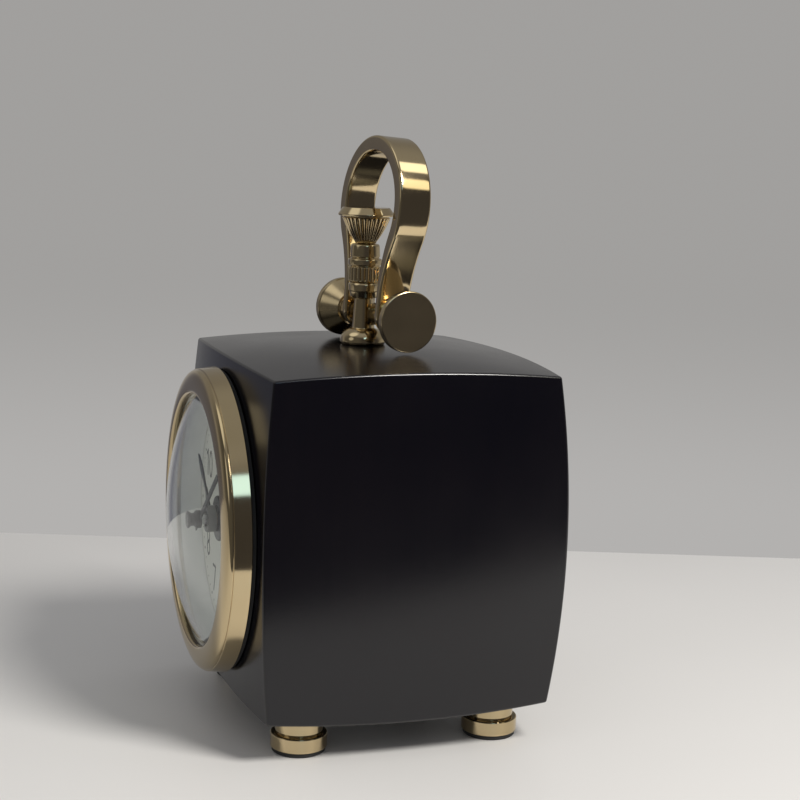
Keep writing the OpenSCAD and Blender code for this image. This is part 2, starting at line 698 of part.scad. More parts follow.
module reflector_ring() color(cream) at_dial() rotate_extrude($fn = 180)
    polygon([[dial_show_r + 1.9, flange_back - seat_gap], [cup_in_r - seat_gap, flange_back - seat_gap],
        [cup_in_r - seat_gap, flange_back - 1.1], [dial_show_r + 2.9, flange_back - 1.1],
        [dial_show_r + 1, dial_v + seat_gap], [dial_show_r, dial_v + seat_gap]]);

module dial() color(cream) at_dial() translate([0, 0, floor_v])
    ring(cup_in_r - seat_gap, bush_r + seat_gap, dial_t, $fn = 180);

module dial_washer() color(black) at_dial() translate([0, 0, dial_v])
    ring(dial_nut_r + 0.4, bush_r + seat_gap, washer_h);

module dial_nut() color(black) at_dial() translate([0, 0, dial_v + washer_h])
    ring(dial_nut_r, bush_r + seat_gap, dial_nut_h);

module insert_cup() color(black) at_dial() {
    translate([0, 0, move_front]) ring(insert_r, bush_r + seat_gap, floor_t, $fn = 180);
    translate([0, 0, move_front - skirt_l])
        ring(insert_r, cup_in_r, flange_back - move_front + skirt_l, $fn = 180);
}

module grip_ring() color("#2b2b2b") at_dial() {
    grip_l = 6;
    fin_w = 1;
    translate([0, 0, move_front - skirt_l + 1]) {
        ring(insert_r + grip_t * 0.4, insert_r, grip_l, $fn = 180);
        for (i = [0 : 2]) translate([0, 0, i * (grip_l - fin_w) / 2])
            ring(insert_r + grip_t, insert_r, fin_w, $fn = 180);
    }
}

// Movement
module pivot_hole(at, from) translate([at[0], at[1], from])
    cylinder(r = pivot_r + slip, h = pivot_l + 0.2, $fn = 24);

// Half the side of the largest square that both the housing and the cup hold
corner_in = min(move_w / 2, (cup_in_r - cup_room) / sqrt(2));
cover_post_r = 1.7;
cover_hole_r = 0.7;
cover_head_r = 1.5;
cover_post_x = corner_in - post_in;
cover_post_low = bay_wall_z + bay_wall_t + cover_post_r + wheel_room;
cover_posts = [for (x = [-cover_post_x, cover_post_x], z = [cover_post_x, cover_post_low]) [x, z]];
board_size = [15, 10.5];
board_t = 1;
board_from = [corner_in - plate_t - 0.5 - board_size[0], cover_post_x - cover_post_r - 0.3 - board_size[1]];
board_v = cover_in + 4;
board_post = board_from + [4.5, board_size[1] - 1.5];
stator_v = centre_layer + 0.3;
stator_t = 0.9;
stator_cross_z = centre_teeth * train_module / 2 + 2;
coil_z = corner_in - plate_t - coil_r - 0.3;
coil_in = 4;
core_ends = [rotor_at[0] - 3.2, -1.5];

// Outline of the movement's housing, drawn in by its wall for the inside
module housing_form(inset, shelf, from, h) translate([0, 0, from]) linear_extrude(h) intersection() {
    union() {
        translate([inset - move_w / 2, bay_low + inset])
            square([move_w - 2 * inset, move_w / 2 - bay_low - 2 * inset]);
        translate([inset - bay_half, bay_low + inset])
            square([2 * (bay_half - inset), shelf - bay_low - inset]);
    }
    circle(r = cup_in_r - cup_room - inset, $fn = 180);
}

module movement_housing() color("#22252a") at_dial() difference() {
    union() {
        difference() {
            housing_form(0, bay_wall_z + bay_wall_t, cover_in, move_depth - plate_t);
            housing_form(plate_t, bay_wall_z, cover_in - 1, plate_in - cover_in + 1);
        }
        // Wall between wheels and battery
        translate([plate_t - bay_half - 0.1, bay_wall_z, cover_in])
            cube([2 * (bay_half - plate_t) + 0.2, bay_wall_t, plate_in - cover_in + 0.1]);
        for (at = cover_posts) translate([at[0], at[1], cover_in])
            cylinder(r = cover_post_r, h = plate_in - cover_in + 0.1, $fn = 32);
        // Posts under the stator and the circuit board
        for (x = core_ends) translate([x, coil_z, stator_v + stator_t])
            cylinder(r = stator_leg / 2, h = plate_in - stator_v - stator_t + 0.1, $fn = 32);
        translate([board_post[0], board_post[1], board_v + board_t])
            cylinder(r = 1, h = plate_in - board_v - board_t + 0.1, $fn = 32);
        translate([0, 0, move_front - 0.1])
            cylinder(r = bush_r, h = bush_top - move_front);
    }
    translate([0, 0, plate_in - 1]) cylinder(r = hour_tube_r + slip, h = through, $fn = 64);
    for (at = [minute_at, setting_at, third_at, rotor_at]) pivot_hole(at, plate_in - 0.01);
    for (at = cover_posts) translate([at[0], at[1], cover_in - 1])
        cylinder(r = cover_hole_r, h = 6, $fn = 24);
}

module movement_cover() color("#22252a") at_dial() difference() {
    translate([0, 0, move_back]) linear_extrude(plate_t) intersection() {
        translate([-move_w / 2, bay_wall_z]) square([move_w, move_w / 2 - bay_wall_z]);
        circle(r = cup_in_r - cup_room, $fn = 180);
    }
    for (at = [[0, 0], minute_at, third_at, rotor_at]) pivot_hole(at, cover_in - pivot_l - 0.19);
    translate([setting_at[0], setting_at[1], move_back - 1])
        cylinder(r = 1.5 + slip, h = plate_t + 2, $fn = 48);
    for (at = cover_posts) translate([at[0], at[1], move_back - 1])
        cylinder(r = cover_hole_r + 0.2, h = plate_t + 2, $fn = 24);
}

module cover_screws() color(steel) at_dial() for (at = cover_posts) translate([at[0], at[1], 0]) {
    translate([0, 0, move_back - 1]) cylinder(r = cover_head_r, h = 1, $fn = 32);
    translate([0, 0, move_back - 0.5]) cylinder(r = cover_hole_r, h = 5.5, $fn = 24);
}

module battery() color("#31433b") at_dial() translate([-battery_l / 2, battery_z, battery_v])
    rotate([0, 90, 0]) {
        cylinder(r = battery_r, h = battery_l);
        translate([0, 0, battery_l - 0.5]) cylinder(r = 2.7, h = 1.5);
    }

module contact_plate(x) translate([x, battery_z - contact_w / 2, battery_v - contact_w / 2])
    cube([contact_t, contact_w, contact_w]);

module contact_positive() color(steel) at_dial() {
    contact_plate(bay_half - plate_t - contact_t);
    translate([battery_l / 2 + 1, battery_z, battery_v]) rotate([0, 90, 0])
        cylinder(r = 2.2, h = contact_gap - 1 - contact_t / 2);
}

module contact_negative() color(steel) at_dial() {
    contact_plate(plate_t - bay_half);
    translate([plate_t - bay_half + contact_t / 2, battery_z, battery_v]) rotate([0, 90, 0])
        cylinder(r1 = 3.6, r2 = 2.4, h = contact_gap - contact_t / 2);
}

module circuit_board() color("#2d5a3a") at_dial()
    translate([board_from[0], board_from[1], board_v]) cube([board_size[0], board_size[1], board_t]);

module quartz_can() color(steel) at_dial()
    translate([board_from[0] + 4, board_from[1] + board_size[1] / 2, board_v + board_t + quartz_r])
        rotate([0, 90, 0]) cylinder(r = quartz_r, h = board_size[0] / 2, $fn = 32);
quartz_r = 1.2;

module coil() color("#8c4a26") at_dial()
    translate([core_ends[0] + coil_in, coil_z, stator_v + stator_t / 2]) rotate([0, 90, 0]) difference() {
        cylinder(r = coil_r, h = core_ends[1] - core_ends[0] - 2 * coil_in);
        translate([-stator_t / 2, -stator_leg / 2, -1]) cube([stator_t, stator_leg, through]);
    }

// Flat bar of the stator between two corners
module stator_bar(from, to) translate([from[0], from[1], 0])
    cube([to[0] - from[0], to[1] - from[1], stator_t]);

// Thin plate with a hole for the rotor and a bar that carries the coil
module stator() color(steel) at_dial() translate([0, 0, stator_v]) {
    rotor_in = magnet_r + 2;
    half = stator_leg / 2;
    difference() {
        union() {
            stator_bar([core_ends[0] - half, coil_z - half], [core_ends[1] + half, coil_z + half]);
            stator_bar([core_ends[0] - half, rotor_at[1] - rotor_in], [core_ends[0] + half, coil_z]);
            stator_bar([core_ends[1] - half, stator_cross_z], [core_ends[1] + half, coil_z]);
            stator_bar([rotor_at[0] - rotor_in, rotor_at[1] - rotor_in],
                [rotor_at[0] + rotor_in, stator_cross_z + stator_leg]);
            stator_bar([rotor_at[0], stator_cross_z], [core_ends[1], stator_cross_z + stator_leg]);
        }
        translate([rotor_at[0], rotor_at[1], -1]) cylinder(r = magnet_r + 0.4, h = stator_t + 2);
    }
}

// Wheel or pinion with straight-sided teeth, one of which points along the x axis
module toothed(teeth, m, h) {
    pitch_r = teeth * m / 2;
    root_r = pitch_r - 1.2 * m;
    tip_r = pitch_r + tooth_out * m;
    half_pitch = m * 0.62;
    flank = 0.36;
    half_root = (half_pitch + 1.2 * m * flank) / root_r * 180 / PI;
    half_tip = (half_pitch - tooth_out * m * flank) / tip_r * 180 / PI;
    step = 360 / teeth;
    root_turn = min(half_root, step * 0.48);
    linear_extrude(h) polygon([for (i = [0 : teeth - 1], c = [[root_r, -root_turn], [tip_r, -half_tip],
        [tip_r, half_tip], [root_r, root_turn]])
        c[0] * [cos(i * step + c[1]), sin(i * step + c[1])]]);
}

// Toothed piece with its layer, turned so that a tooth or a gap points along an angle
module wheel_layer(teeth, m, from, h, angle, gap = false)
    translate([0, 0, from]) rotate([0, 0, angle + (gap ? 180 / teeth : 0)]) toothed(teeth, m, h);

// Arbor between the two plates, with a pivot at each end
module arbor(r = arbor_r) {
    translate([0, 0, cover_in + end_play]) cylinder(r = r, h = plate_in - cover_in - 2 * end_play, $fn = 32);
    translate([0, 0, cover_in - pivot_l])
        cylinder(r = pivot_r, h = plate_in - cover_in + 2 * pivot_l, $fn = 24);
}

module rotor() color("#4a4d52") at_dial() translate([rotor_at[0], rotor_at[1], 0]) {
    arbor();
    wheel_layer(leaf_teeth, rotor_module, third_layer - 0.3, wheel_t + 0.6, rotor_dir + 180, true);
    translate([0, 0, stator_v - 1.2]) cylinder(r = magnet_r, h = stator_t + 2.4, $fn = 48);
}

module third_wheel() color(brass) at_dial() translate([third_at[0], third_at[1], 0]) {
    arbor();
    wheel_layer(third_teeth, rotor_module, third_layer, wheel_t, rotor_dir);
    wheel_layer(leaf_teeth, train_module, centre_layer - 0.3, wheel_t + 0.6, third_dir + 180, true);
}

module centre_wheel() color(brass) at_dial() {
    wheel_layer(centre_teeth, train_module, centre_layer, wheel_t, third_dir);
    translate([0, 0, cover_in + end_play]) cylinder(r = arbor_r, h = minute_hand_v - cover_in - 1, $fn = 32);
    translate([0, 0, cover_in - pivot_l]) cylinder(r = pivot_r, h = pivot_l + 1, $fn = 24);
}

module cannon_pinion() color(steel) at_dial() difference() {
    union() {
        wheel_layer(cannon_teeth, work_module, work_layer - 0.2, wheel_t + 0.4, minute_dir);
        translate([0, 0, centre_layer + wheel_t + seat_gap])
            cylinder(r = cannon_r, h = minute_hand_v + hand_t - centre_layer - wheel_t + 1, $fn = 48);
    }
    translate([0, 0, cover_in]) cylinder(r = arbor_r + seat_gap, h = minute_hand_v - cover_in, $fn = 32);
}

module minute_wheel() color(brass) at_dial() translate([minute_at[0], minute_at[1], 0]) {
    arbor();
    wheel_layer(minute_teeth, work_module, work_layer, wheel_t, minute_dir + 180, true);
    wheel_layer(small_teeth, hour_module, work_layer + wheel_t,
        hour_layer - work_layer + 0.3, minute_dir + 180);
}

module hour_wheel() color(brass) at_dial() difference() {
    union() {
        wheel_layer(hour_teeth, hour_module, hour_layer, wheel_t, minute_dir, true);
        translate([0, 0, hour_layer])
            cylinder(r = hour_tube_r, h = hour_hand_v + hand_t + 0.4 - hour_layer, $fn = 64);
    }
    translate([0, 0, hour_layer - 1]) cylinder(r = cannon_r + slip, h = through, $fn = 48);
}

module setting_knob() color(black) at_dial() translate([setting_at[0], setting_at[1], 0]) {
    wheel_layer(cannon_teeth, work_module, work_layer - 0.2, wheel_t + 0.4, setting_dir + 180);
    translate([0, 0, move_back - 0.5]) cylinder(r = 1.5, h = plate_in - end_play - move_back + 0.5, $fn = 48);
    translate([0, 0, plate_in - 1]) cylinder(r = pivot_r, h = 1 + pivot_l, $fn = 24);
    translate([0, 0, move_back - 0.3 - setting_h]) difference() {
        cylinder(r = setting_r, h = setting_h);
        for (i = [0 : 17]) rotate([0, 0, i * 20]) translate([setting_r + 0.2, 0, -1])
            cylinder(r = 0.5, h = setting_h + 2, $fn = 16);
    }
}

// Hands
module hour_hand() color(black) at_dial() translate([0, 0, hour_hand_v]) rotate([0, 0, -hour_angle])
    difference() {
        union() {
            // Slim leaf: the space shared by two large circles, on a straight stalk
            rotate([hour_tilt, 0, 0]) linear_extrude(hand_t) {
                translate([-stalk_w / 2, 0]) square([stalk_w, hour_l * 0.6]);
                leaf_l = hour_l * 0.5;
                leaf_r = (leaf_l * leaf_l / 4 + leaf_w * leaf_w / 4) / leaf_w;
                translate([0, hour_l - leaf_l / 2]) intersection() {
                    translate([leaf_r - leaf_w / 2, 0]) circle(r = leaf_r, $fn = 180);
                    translate([leaf_w / 2 - leaf_r, 0]) circle(r = leaf_r, $fn = 180);
                }
            }
            translate([0, 0, hour_boss_from - hour_hand_v])
                cylinder(r = hour_boss_r, h = hour_boss_l);
        }
        translate([0, 0, hour_boss_from - hour_hand_v - 1])
            cylinder(r = hour_tube_r + seat_gap, h = hour_boss_l + 2);
    }

module minute_hand() color(black) at_dial() translate([0, 0, minute_hand_v]) rotate([0, 0, -minute_angle])
    difference() {
        linear_extrude(hand_t) {
            circle(r = 2.8);
            polygon([[-minute_w / 2, -7], [minute_w / 2, -7], [minute_w / 2, minute_l - 1.2],
                [0, minute_l], [-minute_w / 2, minute_l - 1.2]]);
        }
        translate([0, 0, -1]) cylinder(r = cannon_r + seat_gap, h = 5);
    }

module hand_nut() color(black) at_dial() translate([0, 0, minute_hand_v + hand_t]) difference() {
    foot_r = 2.8;
    waist_r = 2;
    head_r = 2.6;
    rotate_extrude() polygon([[0, 0], [foot_r, 0], [foot_r, hand_nut_h * 0.25], [waist_r, hand_nut_h * 0.4],
        [waist_r, hand_nut_h * 0.65], [head_r, hand_nut_h * 0.85], [head_r, hand_nut_h], [0, hand_nut_h]]);
    translate([0, 0, -1]) cylinder(r = cannon_r + seat_gap, h = 2.02);
}

case_shell();
back_panel();
back_panel_screws();
foot_front_left();
foot_front_right();
foot_back_left();
foot_back_right();
foot_pad_front_left();
foot_pad_front_right();
foot_pad_back_left();
foot_pad_back_right();
foot_screws();
handle_post();
post_washer();
post_nut();
fluted_sleeve();
crown();
handle_axle();
knob_left();
knob_right();
bow_washers();
bow();
bezel();
bezel_gasket();
crystal();
reflector_ring();
dial();
dial_washer();
dial_nut();
insert_cup();
grip_ring();
movement_housing();
movement_cover();
cover_screws();
battery();
contact_positive();
contact_negative();
circuit_board();
quartz_can();
coil();
stator();
rotor();
third_wheel();
centre_wheel();
cannon_pinion();
minute_wheel();
hour_wheel();
setting_knob();
hour_hand();
minute_hand();
hand_nut();
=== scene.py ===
import json
import math

import bmesh
import bpy
from mathutils import Matrix, Vector

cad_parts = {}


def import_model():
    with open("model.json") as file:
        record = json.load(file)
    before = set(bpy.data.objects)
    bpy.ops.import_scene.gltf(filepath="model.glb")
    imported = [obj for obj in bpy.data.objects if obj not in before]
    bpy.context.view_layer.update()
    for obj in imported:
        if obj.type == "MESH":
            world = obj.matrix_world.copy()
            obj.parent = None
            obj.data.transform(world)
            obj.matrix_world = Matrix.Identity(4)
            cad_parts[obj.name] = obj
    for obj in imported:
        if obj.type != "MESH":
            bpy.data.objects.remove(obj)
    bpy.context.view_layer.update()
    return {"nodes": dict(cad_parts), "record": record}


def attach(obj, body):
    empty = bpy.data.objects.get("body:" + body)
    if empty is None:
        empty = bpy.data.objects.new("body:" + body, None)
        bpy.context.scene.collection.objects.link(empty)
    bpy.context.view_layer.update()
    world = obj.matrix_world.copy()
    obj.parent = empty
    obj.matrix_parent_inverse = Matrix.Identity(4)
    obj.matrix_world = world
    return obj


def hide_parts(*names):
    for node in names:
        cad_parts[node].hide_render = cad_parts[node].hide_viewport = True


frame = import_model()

# Sizes are in millimetres, as in the CAD, and turned into metres here
MM = 0.001
HALF_W, HALF_D, HALF_H = 50.0, 43.75, 50.0
CENTRE_Y, CENTRE_Z = 5.1696, 62.7
POST_FORWARD, POST_SEAT = 2.2, 54.0231
AXLE_BEHIND, AXLE_H, AXLE_YAW = 3.5, 9.4, 7.7
# Distances in front of the case's middle, along the dial's axis
BEZEL_BACK, FLANGE_TOP, DIAL_V = 48.099, 53.599, 45.499


def moved(x, y, z):
    """Translation by millimetres."""
    return Matrix.Translation(Vector((x, y, z)) * MM)


def rotated(degrees, axis):
    return Matrix.Rotation(math.radians(degrees), 4, axis)


def polar(r, degrees):
    return r * math.cos(math.radians(degrees)), r * math.sin(math.radians(degrees))


CASE = moved(0, CENTRE_Y, CENTRE_Z)
DIAL = CASE @ rotated(90, "X")
UPRIGHT = CASE @ rotated(-90, "X")
POST = CASE @ moved(0, -POST_FORWARD, POST_SEAT)
AXLE = CASE @ moved(0, AXLE_BEHIND - POST_FORWARD, POST_SEAT + AXLE_H) @ rotated(AXLE_YAW, "Z")


# Mesh helpers
def link(obj):
    bpy.context.scene.collection.objects.link(obj)
    return obj


def from_bmesh(name, bm, place=Matrix.Identity(4), sharp=35):
    """New object from a bmesh in millimetres, smooth apart from edges sharper than an angle."""
    bmesh.ops.recalc_face_normals(bm, faces=bm.faces)
    mesh = bpy.data.meshes.new(name)
    bm.to_mesh(mesh)
    bm.free()
    mesh.transform(Matrix.Scale(MM, 4))
    mesh.shade_smooth()
    mesh.set_sharp_from_angle(angle=math.radians(sharp))
    obj = link(bpy.data.objects.new(name, mesh))
    obj.matrix_world = place
    return obj


def even_normals(obj):
    """Large faces keep their own normals beside small rounded edges."""
    mod = obj.modifiers.new("even_normals", "WEIGHTED_NORMAL")
    mod.keep_sharp = True
    return obj


def soften(points, steps=5):
    """Closed profile with its corners rounded: each point is (r, z) or (r, z, fillet radius)."""
    out = []
    n = len(points)
    for i, p in enumerate(points):
        fillet = p[2] if len(p) > 2 else 0
        here = Vector(p[:2])
        if not fillet:
            out.append(here)
            continue
        a = Vector(points[i - 1][:2]) - here
        b = Vector(points[(i + 1) % n][:2]) - here
        turn = a.angle(b)
        reach = min(fillet / math.tan(turn / 2), a.length * 0.49, b.length * 0.49)
        r = reach * math.tan(turn / 2)
        centre = here + (a.normalized() + b.normalized()).normalized() * (r / math.sin(turn / 2))
        start, end = here + a.normalized() * reach - centre, here + b.normalized() * reach - centre
        sweep = start.angle_signed(end)
        for k in range(steps + 1):
            t = -sweep * k / steps
            out.append(centre + Vector((start.x * math.cos(t) - start.y * math.sin(t),
                                        start.x * math.sin(t) + start.y * math.cos(t))))
    return out


def lathe_mesh(profile, steps, shape=None):
    """Closed profile of (r, z) points turned about z. shape(r, z, angle) may change the radius."""
    bm = bmesh.new()
    rings = []
    for r, z in profile:
        if r < 1e-6:
            rings.append([bm.verts.new((0, 0, z))] * steps)
            continue
        ring = []
        for k in range(steps):
            t = 2 * math.pi * k / steps
            rr = shape(r, z, t) if shape else r
            ring.append(bm.verts.new((rr * math.cos(t), rr * math.sin(t), z)))
        rings.append(ring)
    for i, ring in enumerate(rings):
        nxt = rings[(i + 1) % len(rings)]
        for k in range(steps):
            quad = [ring[k], ring[(k + 1) % steps], nxt[(k + 1) % steps], nxt[k]]
            corners = list(dict.fromkeys(quad))
            if len(corners) > 2:
                bm.faces.new(corners)
    return bm


def lathe(name, points, place, steps=128, shape=None):
    return even_normals(from_bmesh(name, lathe_mesh(soften(points), steps, shape), place))


def slab_mesh(outline, z0, z1):
    """Prism of a closed 2D outline between two heights."""
    bm = bmesh.new()
    low = [bm.verts.new((x, y, z0)) for x, y in outline]
    high = [bm.verts.new((x, y, z1)) for x, y in outline]
    n = len(outline)
    for i in range(n):
        bm.faces.new([low[i], low[(i + 1) % n], high[(i + 1) % n], high[i]])
    bm.faces.new(low[::-1])
    bm.faces.new(high)
    return bm


def round_square(half, corner, steps=10):
    out = []
    for sx, sy, a0 in ((1, 1, 0), (-1, 1, 90), (-1, -1, 180), (1, -1, 270)):
        for k in range(steps + 1):
            x, y = polar(corner, a0 + 90 * k / steps)
            out.append((sx * (half - corner) + x, sy * (half - corner) + y))
    return out


def rod_mesh(r, z0, z1, steps=96):
    return slab_mesh([polar(r, 360 * k / steps) for k in range(steps)], z0, z1)


def cutter(bm, place=Matrix.Identity(4)):
    return from_bmesh("cutter", bm, place)


def carve(obj, cutters, operation="DIFFERENCE"):
    """Cuts the cutters out of obj, or keeps what they share, and removes them."""
    for c in cutters:
        mod = obj.modifiers.new("carve", "BOOLEAN")
        mod.operation, mod.solver, mod.object = operation, "EXACT", c
    bpy.context.view_layer.update()
    done = bpy.data.meshes.new_from_object(obj.evaluated_get(bpy.context.evaluated_depsgraph_get()))
    obj.modifiers.clear()
    old, obj.data = obj.data, done
    bpy.data.meshes.remove(old)
    for c in cutters:
        mesh = c.data
        bpy.data.objects.remove(c)
        bpy.data.meshes.remove(mesh)
    done.shade_smooth()
    done.set_sharp_from_angle(angle=math.radians(30))
    return obj


def finish_piece(obj, body, slot, material, *nodes):
    obj.data.materials.clear()
    obj.data.materials.append(material)
    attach(obj, body)
    if nodes:
        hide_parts(*nodes)
    return obj


# Node helpers for the materials
class Nodes:
    def __init__(self, name):
        self.material = bpy.data.materials.new(name)
        self.material.use_nodes = True
        self.tree = self.material.node_tree
        self.shader = self.tree.nodes["Principled BSDF"]
        self.output = self.tree.nodes["Material Output"]
        self.coords = self.add("ShaderNodeTexCoord").outputs["Object"]

    def add(self, kind, **settings):
        node = self.tree.nodes.new(kind)
        for key, value in settings.items():
            setattr(node, key, value)
        return node

    def link(self, a, b):
        self.tree.links.new(a, b)

    def put(self, **values):
        for key, value in values.items():
            self.shader.inputs[key.replace("_", " ")].default_value = value

    def stretch(self, scale):
        mapping = self.add("ShaderNodeMapping")
        mapping.inputs["Scale"].default_value = scale
        self.link(self.coords, mapping.inputs["Vector"])
        return mapping.outputs["Vector"]

    def noise(self, scale, detail=3.0, rough=0.5, vector=None, w=None):
        node = self.add("ShaderNodeTexNoise", noise_dimensions="1D" if w is not None else "3D")
        node.inputs["Scale"].default_value = scale
        node.inputs["Detail"].default_value = detail
        node.inputs["Roughness"].default_value = rough
        if w is not None:
            self.link(w, node.inputs["W"])
        else:
            self.link(vector or self.coords, node.inputs["Vector"])
        return node.outputs["Fac"]

    def math(self, operation, *values):
        node = self.add("ShaderNodeMath", operation=operation)
        for socket, value in zip(node.inputs, values):
            if isinstance(value, (int, float)):
                socket.default_value = value
            else:
                self.link(value, socket)
        return node.outputs[0]

    def blend(self, a, share_a, b, share_b):
        return self.math("ADD", self.math("MULTIPLY", a, share_a), self.math("MULTIPLY", b, share_b))

    def spread(self, value, low, high, lo_in=0.3, hi_in=0.7):
        node = self.add("ShaderNodeMapRange")
        node.inputs["From Min"].default_value = lo_in
        node.inputs["From Max"].default_value = hi_in
        node.inputs["To Min"].default_value = low
        node.inputs["To Max"].default_value = high
        self.link(value, node.inputs["Value"])
        return node.outputs["Result"]

    def ramp(self, value, low, high, low_at=0.3, high_at=0.7):
        node = self.add("ShaderNodeValToRGB")
        for element, at, colour in zip(node.color_ramp.elements, (low_at, high_at), (low, high)):
            element.position, element.color = at, (*colour, 1)
        self.link(value, node.inputs["Fac"])
        return node.outputs["Color"]

    def bump(self, height, strength, distance, after=None):
        node = self.add("ShaderNodeBump")
        node.inputs["Strength"].default_value = strength
        node.inputs["Distance"].default_value = distance
        self.link(height, node.inputs["Height"])
        if after:
            self.link(after, node.inputs["Normal"])
        return node.outputs["Normal"]

    def colour(self, socket):
        self.link(socket, self.shader.inputs["Base Color"])

    def roughness(self, socket):
        self.link(socket, self.shader.inputs["Roughness"])

    def normal(self, socket):
        self.link(socket, self.shader.inputs["Normal"])

    def wave(self, direction, scale, distortion):
        node = self.add("ShaderNodeTexWave", wave_type="BANDS", bands_direction=direction)
        node.inputs["Scale"].default_value = scale
        node.inputs["Distortion"].default_value = distortion
        self.link(self.coords, node.inputs["Vector"])
        return node.outputs["Fac"]

    def axes(self):
        """X, Y and Z of the object's own coordinates."""
        parts = self.add("ShaderNodeSeparateXYZ")
        self.link(self.coords, parts.inputs[0])
        return parts.outputs

    def around(self):
        """Distance from the object's own z axis, and height along it."""
        x, y, z = self.axes()
        squares = self.math("ADD", self.math("MULTIPLY", x, x), self.math("MULTIPLY", y, y))
        return self.math("SQRT", squares), z


def lacquer_material():
    m = Nodes("lacquered_wood")
    cloud = m.noise(22, 4)
    grain = m.noise(1, 6, 0.6, m.stretch((420, 420, 18)))
    m.colour(m.ramp(m.blend(cloud, 0.7, grain, 0.3), (0.0009, 0.0008, 0.0026), (0.0026, 0.0016, 0.0034)))
    m.roughness(m.spread(m.blend(cloud, 0.8, grain, 0.2), 0.17, 0.25))
    peel = m.bump(m.noise(900, 2), 0.03, 0.0002)
    m.normal(m.bump(grain, 0.02, 0.0002, peel))
    m.put(Specular_IOR_Level=0.55)
    return m.material


def brass_material(name, turned=True, rough=(0.07, 0.13)):
    """Polished brass. A turned piece has fine rings about its own z axis."""
    m = Nodes(name)
    smudge = m.noise(95, 5, 0.6)
    m.colour(m.ramp(m.noise(40, 3), (0.54, 0.43, 0.255), (0.61, 0.49, 0.30)))
    if turned:
        radius, height = m.around()
        along = m.math("ADD", radius, m.math("MULTIPLY", height, 1.3))
        rings = m.noise(1, 3, 0.7, w=m.math("MULTIPLY", along, 9000))
        lines = m.noise(1, 2, 0.6, w=m.math("MULTIPLY", m.math("ADD", radius, height), 2500))
        fine = m.blend(rings, 0.5, lines, 0.5)
        m.roughness(m.spread(m.blend(smudge, 0.6, fine, 0.4), *rough))
        m.normal(m.bump(fine, 0.035, 0.0001, m.bump(smudge, 0.02, 0.0002)))
    else:
        m.roughness(m.spread(smudge, *rough))
        m.normal(m.bump(m.noise(160, 3), 0.03, 0.0002))
    m.put(Metallic=1.0)
    return m.material


def metal_material(name, tone, rough, stretch=(60, 60, 1400)):
    m = Nodes(name)
    brushed = m.noise(1, 4, 0.7, m.stretch(stretch))
    m.colour(m.ramp(m.noise(150, 3), [c * 0.9 for c in tone], tone))
    m.roughness(m.spread(brushed, rough - 0.06, rough + 0.08))
    m.normal(m.bump(brushed, 0.08, 0.0001))
    m.put(Metallic=1.0)
    return m.material


def plastic_material(name, low, high, rough, grain=2500, depth=0.06):
    m = Nodes(name)
    fine = m.noise(grain, 2)
    m.colour(m.ramp(m.noise(120, 4), low, high))
    m.roughness(m.spread(m.noise(60, 3), rough - 0.05, rough + 0.05))
    m.normal(m.bump(fine, depth, 0.0001))
    return m.material


def glass_material():
    m = Nodes("clear_glass")
    m.put(Base_Color=(0.965, 0.985, 0.975, 1), Transmission_Weight=1.0, IOR=1.5)
    m.roughness(m.spread(m.noise(70, 5, 0.6), 0.0, 0.03, 0.45, 0.75))
    m.normal(m.bump(m.noise(25, 2), 0.004, 0.0005))
    clear = m.add("ShaderNodeBsdfTransparent")
    clear.inputs["Color"].default_value = (0.93, 0.95, 0.94, 1)
    mix = m.add("ShaderNodeMixShader")
    path = m.add("ShaderNodeLightPath")
    plain = m.math("MAXIMUM", path.outputs["Is Shadow Ray"], path.outputs["Is Diffuse Ray"])
    m.link(plain, mix.inputs["Fac"])
    m.link(m.shader.outputs["BSDF"], mix.inputs[1])
    m.link(clear.outputs["BSDF"], mix.inputs[2])
    m.link(mix.outputs["Shader"], m.output.inputs["Surface"])
    return m.material


def dial_material():
    """Silvery white enamel with a very fine sunburst about the dial's middle."""
    m = Nodes("dial_white")
    x, y = m.axes()[:2]
    rays = m.noise(1, 3, 0.6, w=m.math("MULTIPLY", m.math("ARCTAN2", y, x), 60))
    m.colour(m.ramp(m.blend(rays, 0.5, m.noise(45, 4), 0.5), (0.70, 0.69, 0.63), (0.78, 0.77, 0.71)))
    m.roughness(m.spread(rays, 0.30, 0.42))
    m.normal(m.bump(rays, 0.03, 0.0001))
    m.put(Metallic=0.15)
    return m.material


def battery_material():
    """Dark sleeve with a copper coloured end from 12 mm along the battery."""
    m = Nodes("battery_wrap")
    band = m.math("GREATER_THAN", m.axes()["X"], 0.012)
    wear = m.math("ADD", band, m.math("MULTIPLY", m.math("SUBTRACT", m.noise(300, 4), 0.5), 0.12))
    m.colour(m.ramp(wear, (0.06, 0.10, 0.085), (0.55, 0.36, 0.18)))
    m.roughness(m.spread(m.noise(200, 3), 0.22, 0.36))
    m.put(Metallic=0.3)
    return m.material


def board_material():
    m = Nodes("board_green")
    lines = m.wave("DIAGONAL", 260, 2)
    m.colour(m.ramp(lines, (0.030, 0.13, 0.06), (0.05, 0.19, 0.09), 0.55))
    m.roughness(m.spread(m.noise(150, 3), 0.28, 0.42))
    m.normal(m.bump(lines, 0.15, 0.0001))
    return m.material


def copper_material():
    m = Nodes("copper_wire")
    turns = m.wave("X", 1100, 0.4)
    m.colour(m.ramp(turns, (0.30, 0.12, 0.05), (0.62, 0.30, 0.15), 0, 1))
    m.roughness(m.spread(m.noise(300, 3), 0.25, 0.4))
    m.normal(m.bump(turns, 0.5, 0.0001))
    m.put(Metallic=0.8)
    return m.material


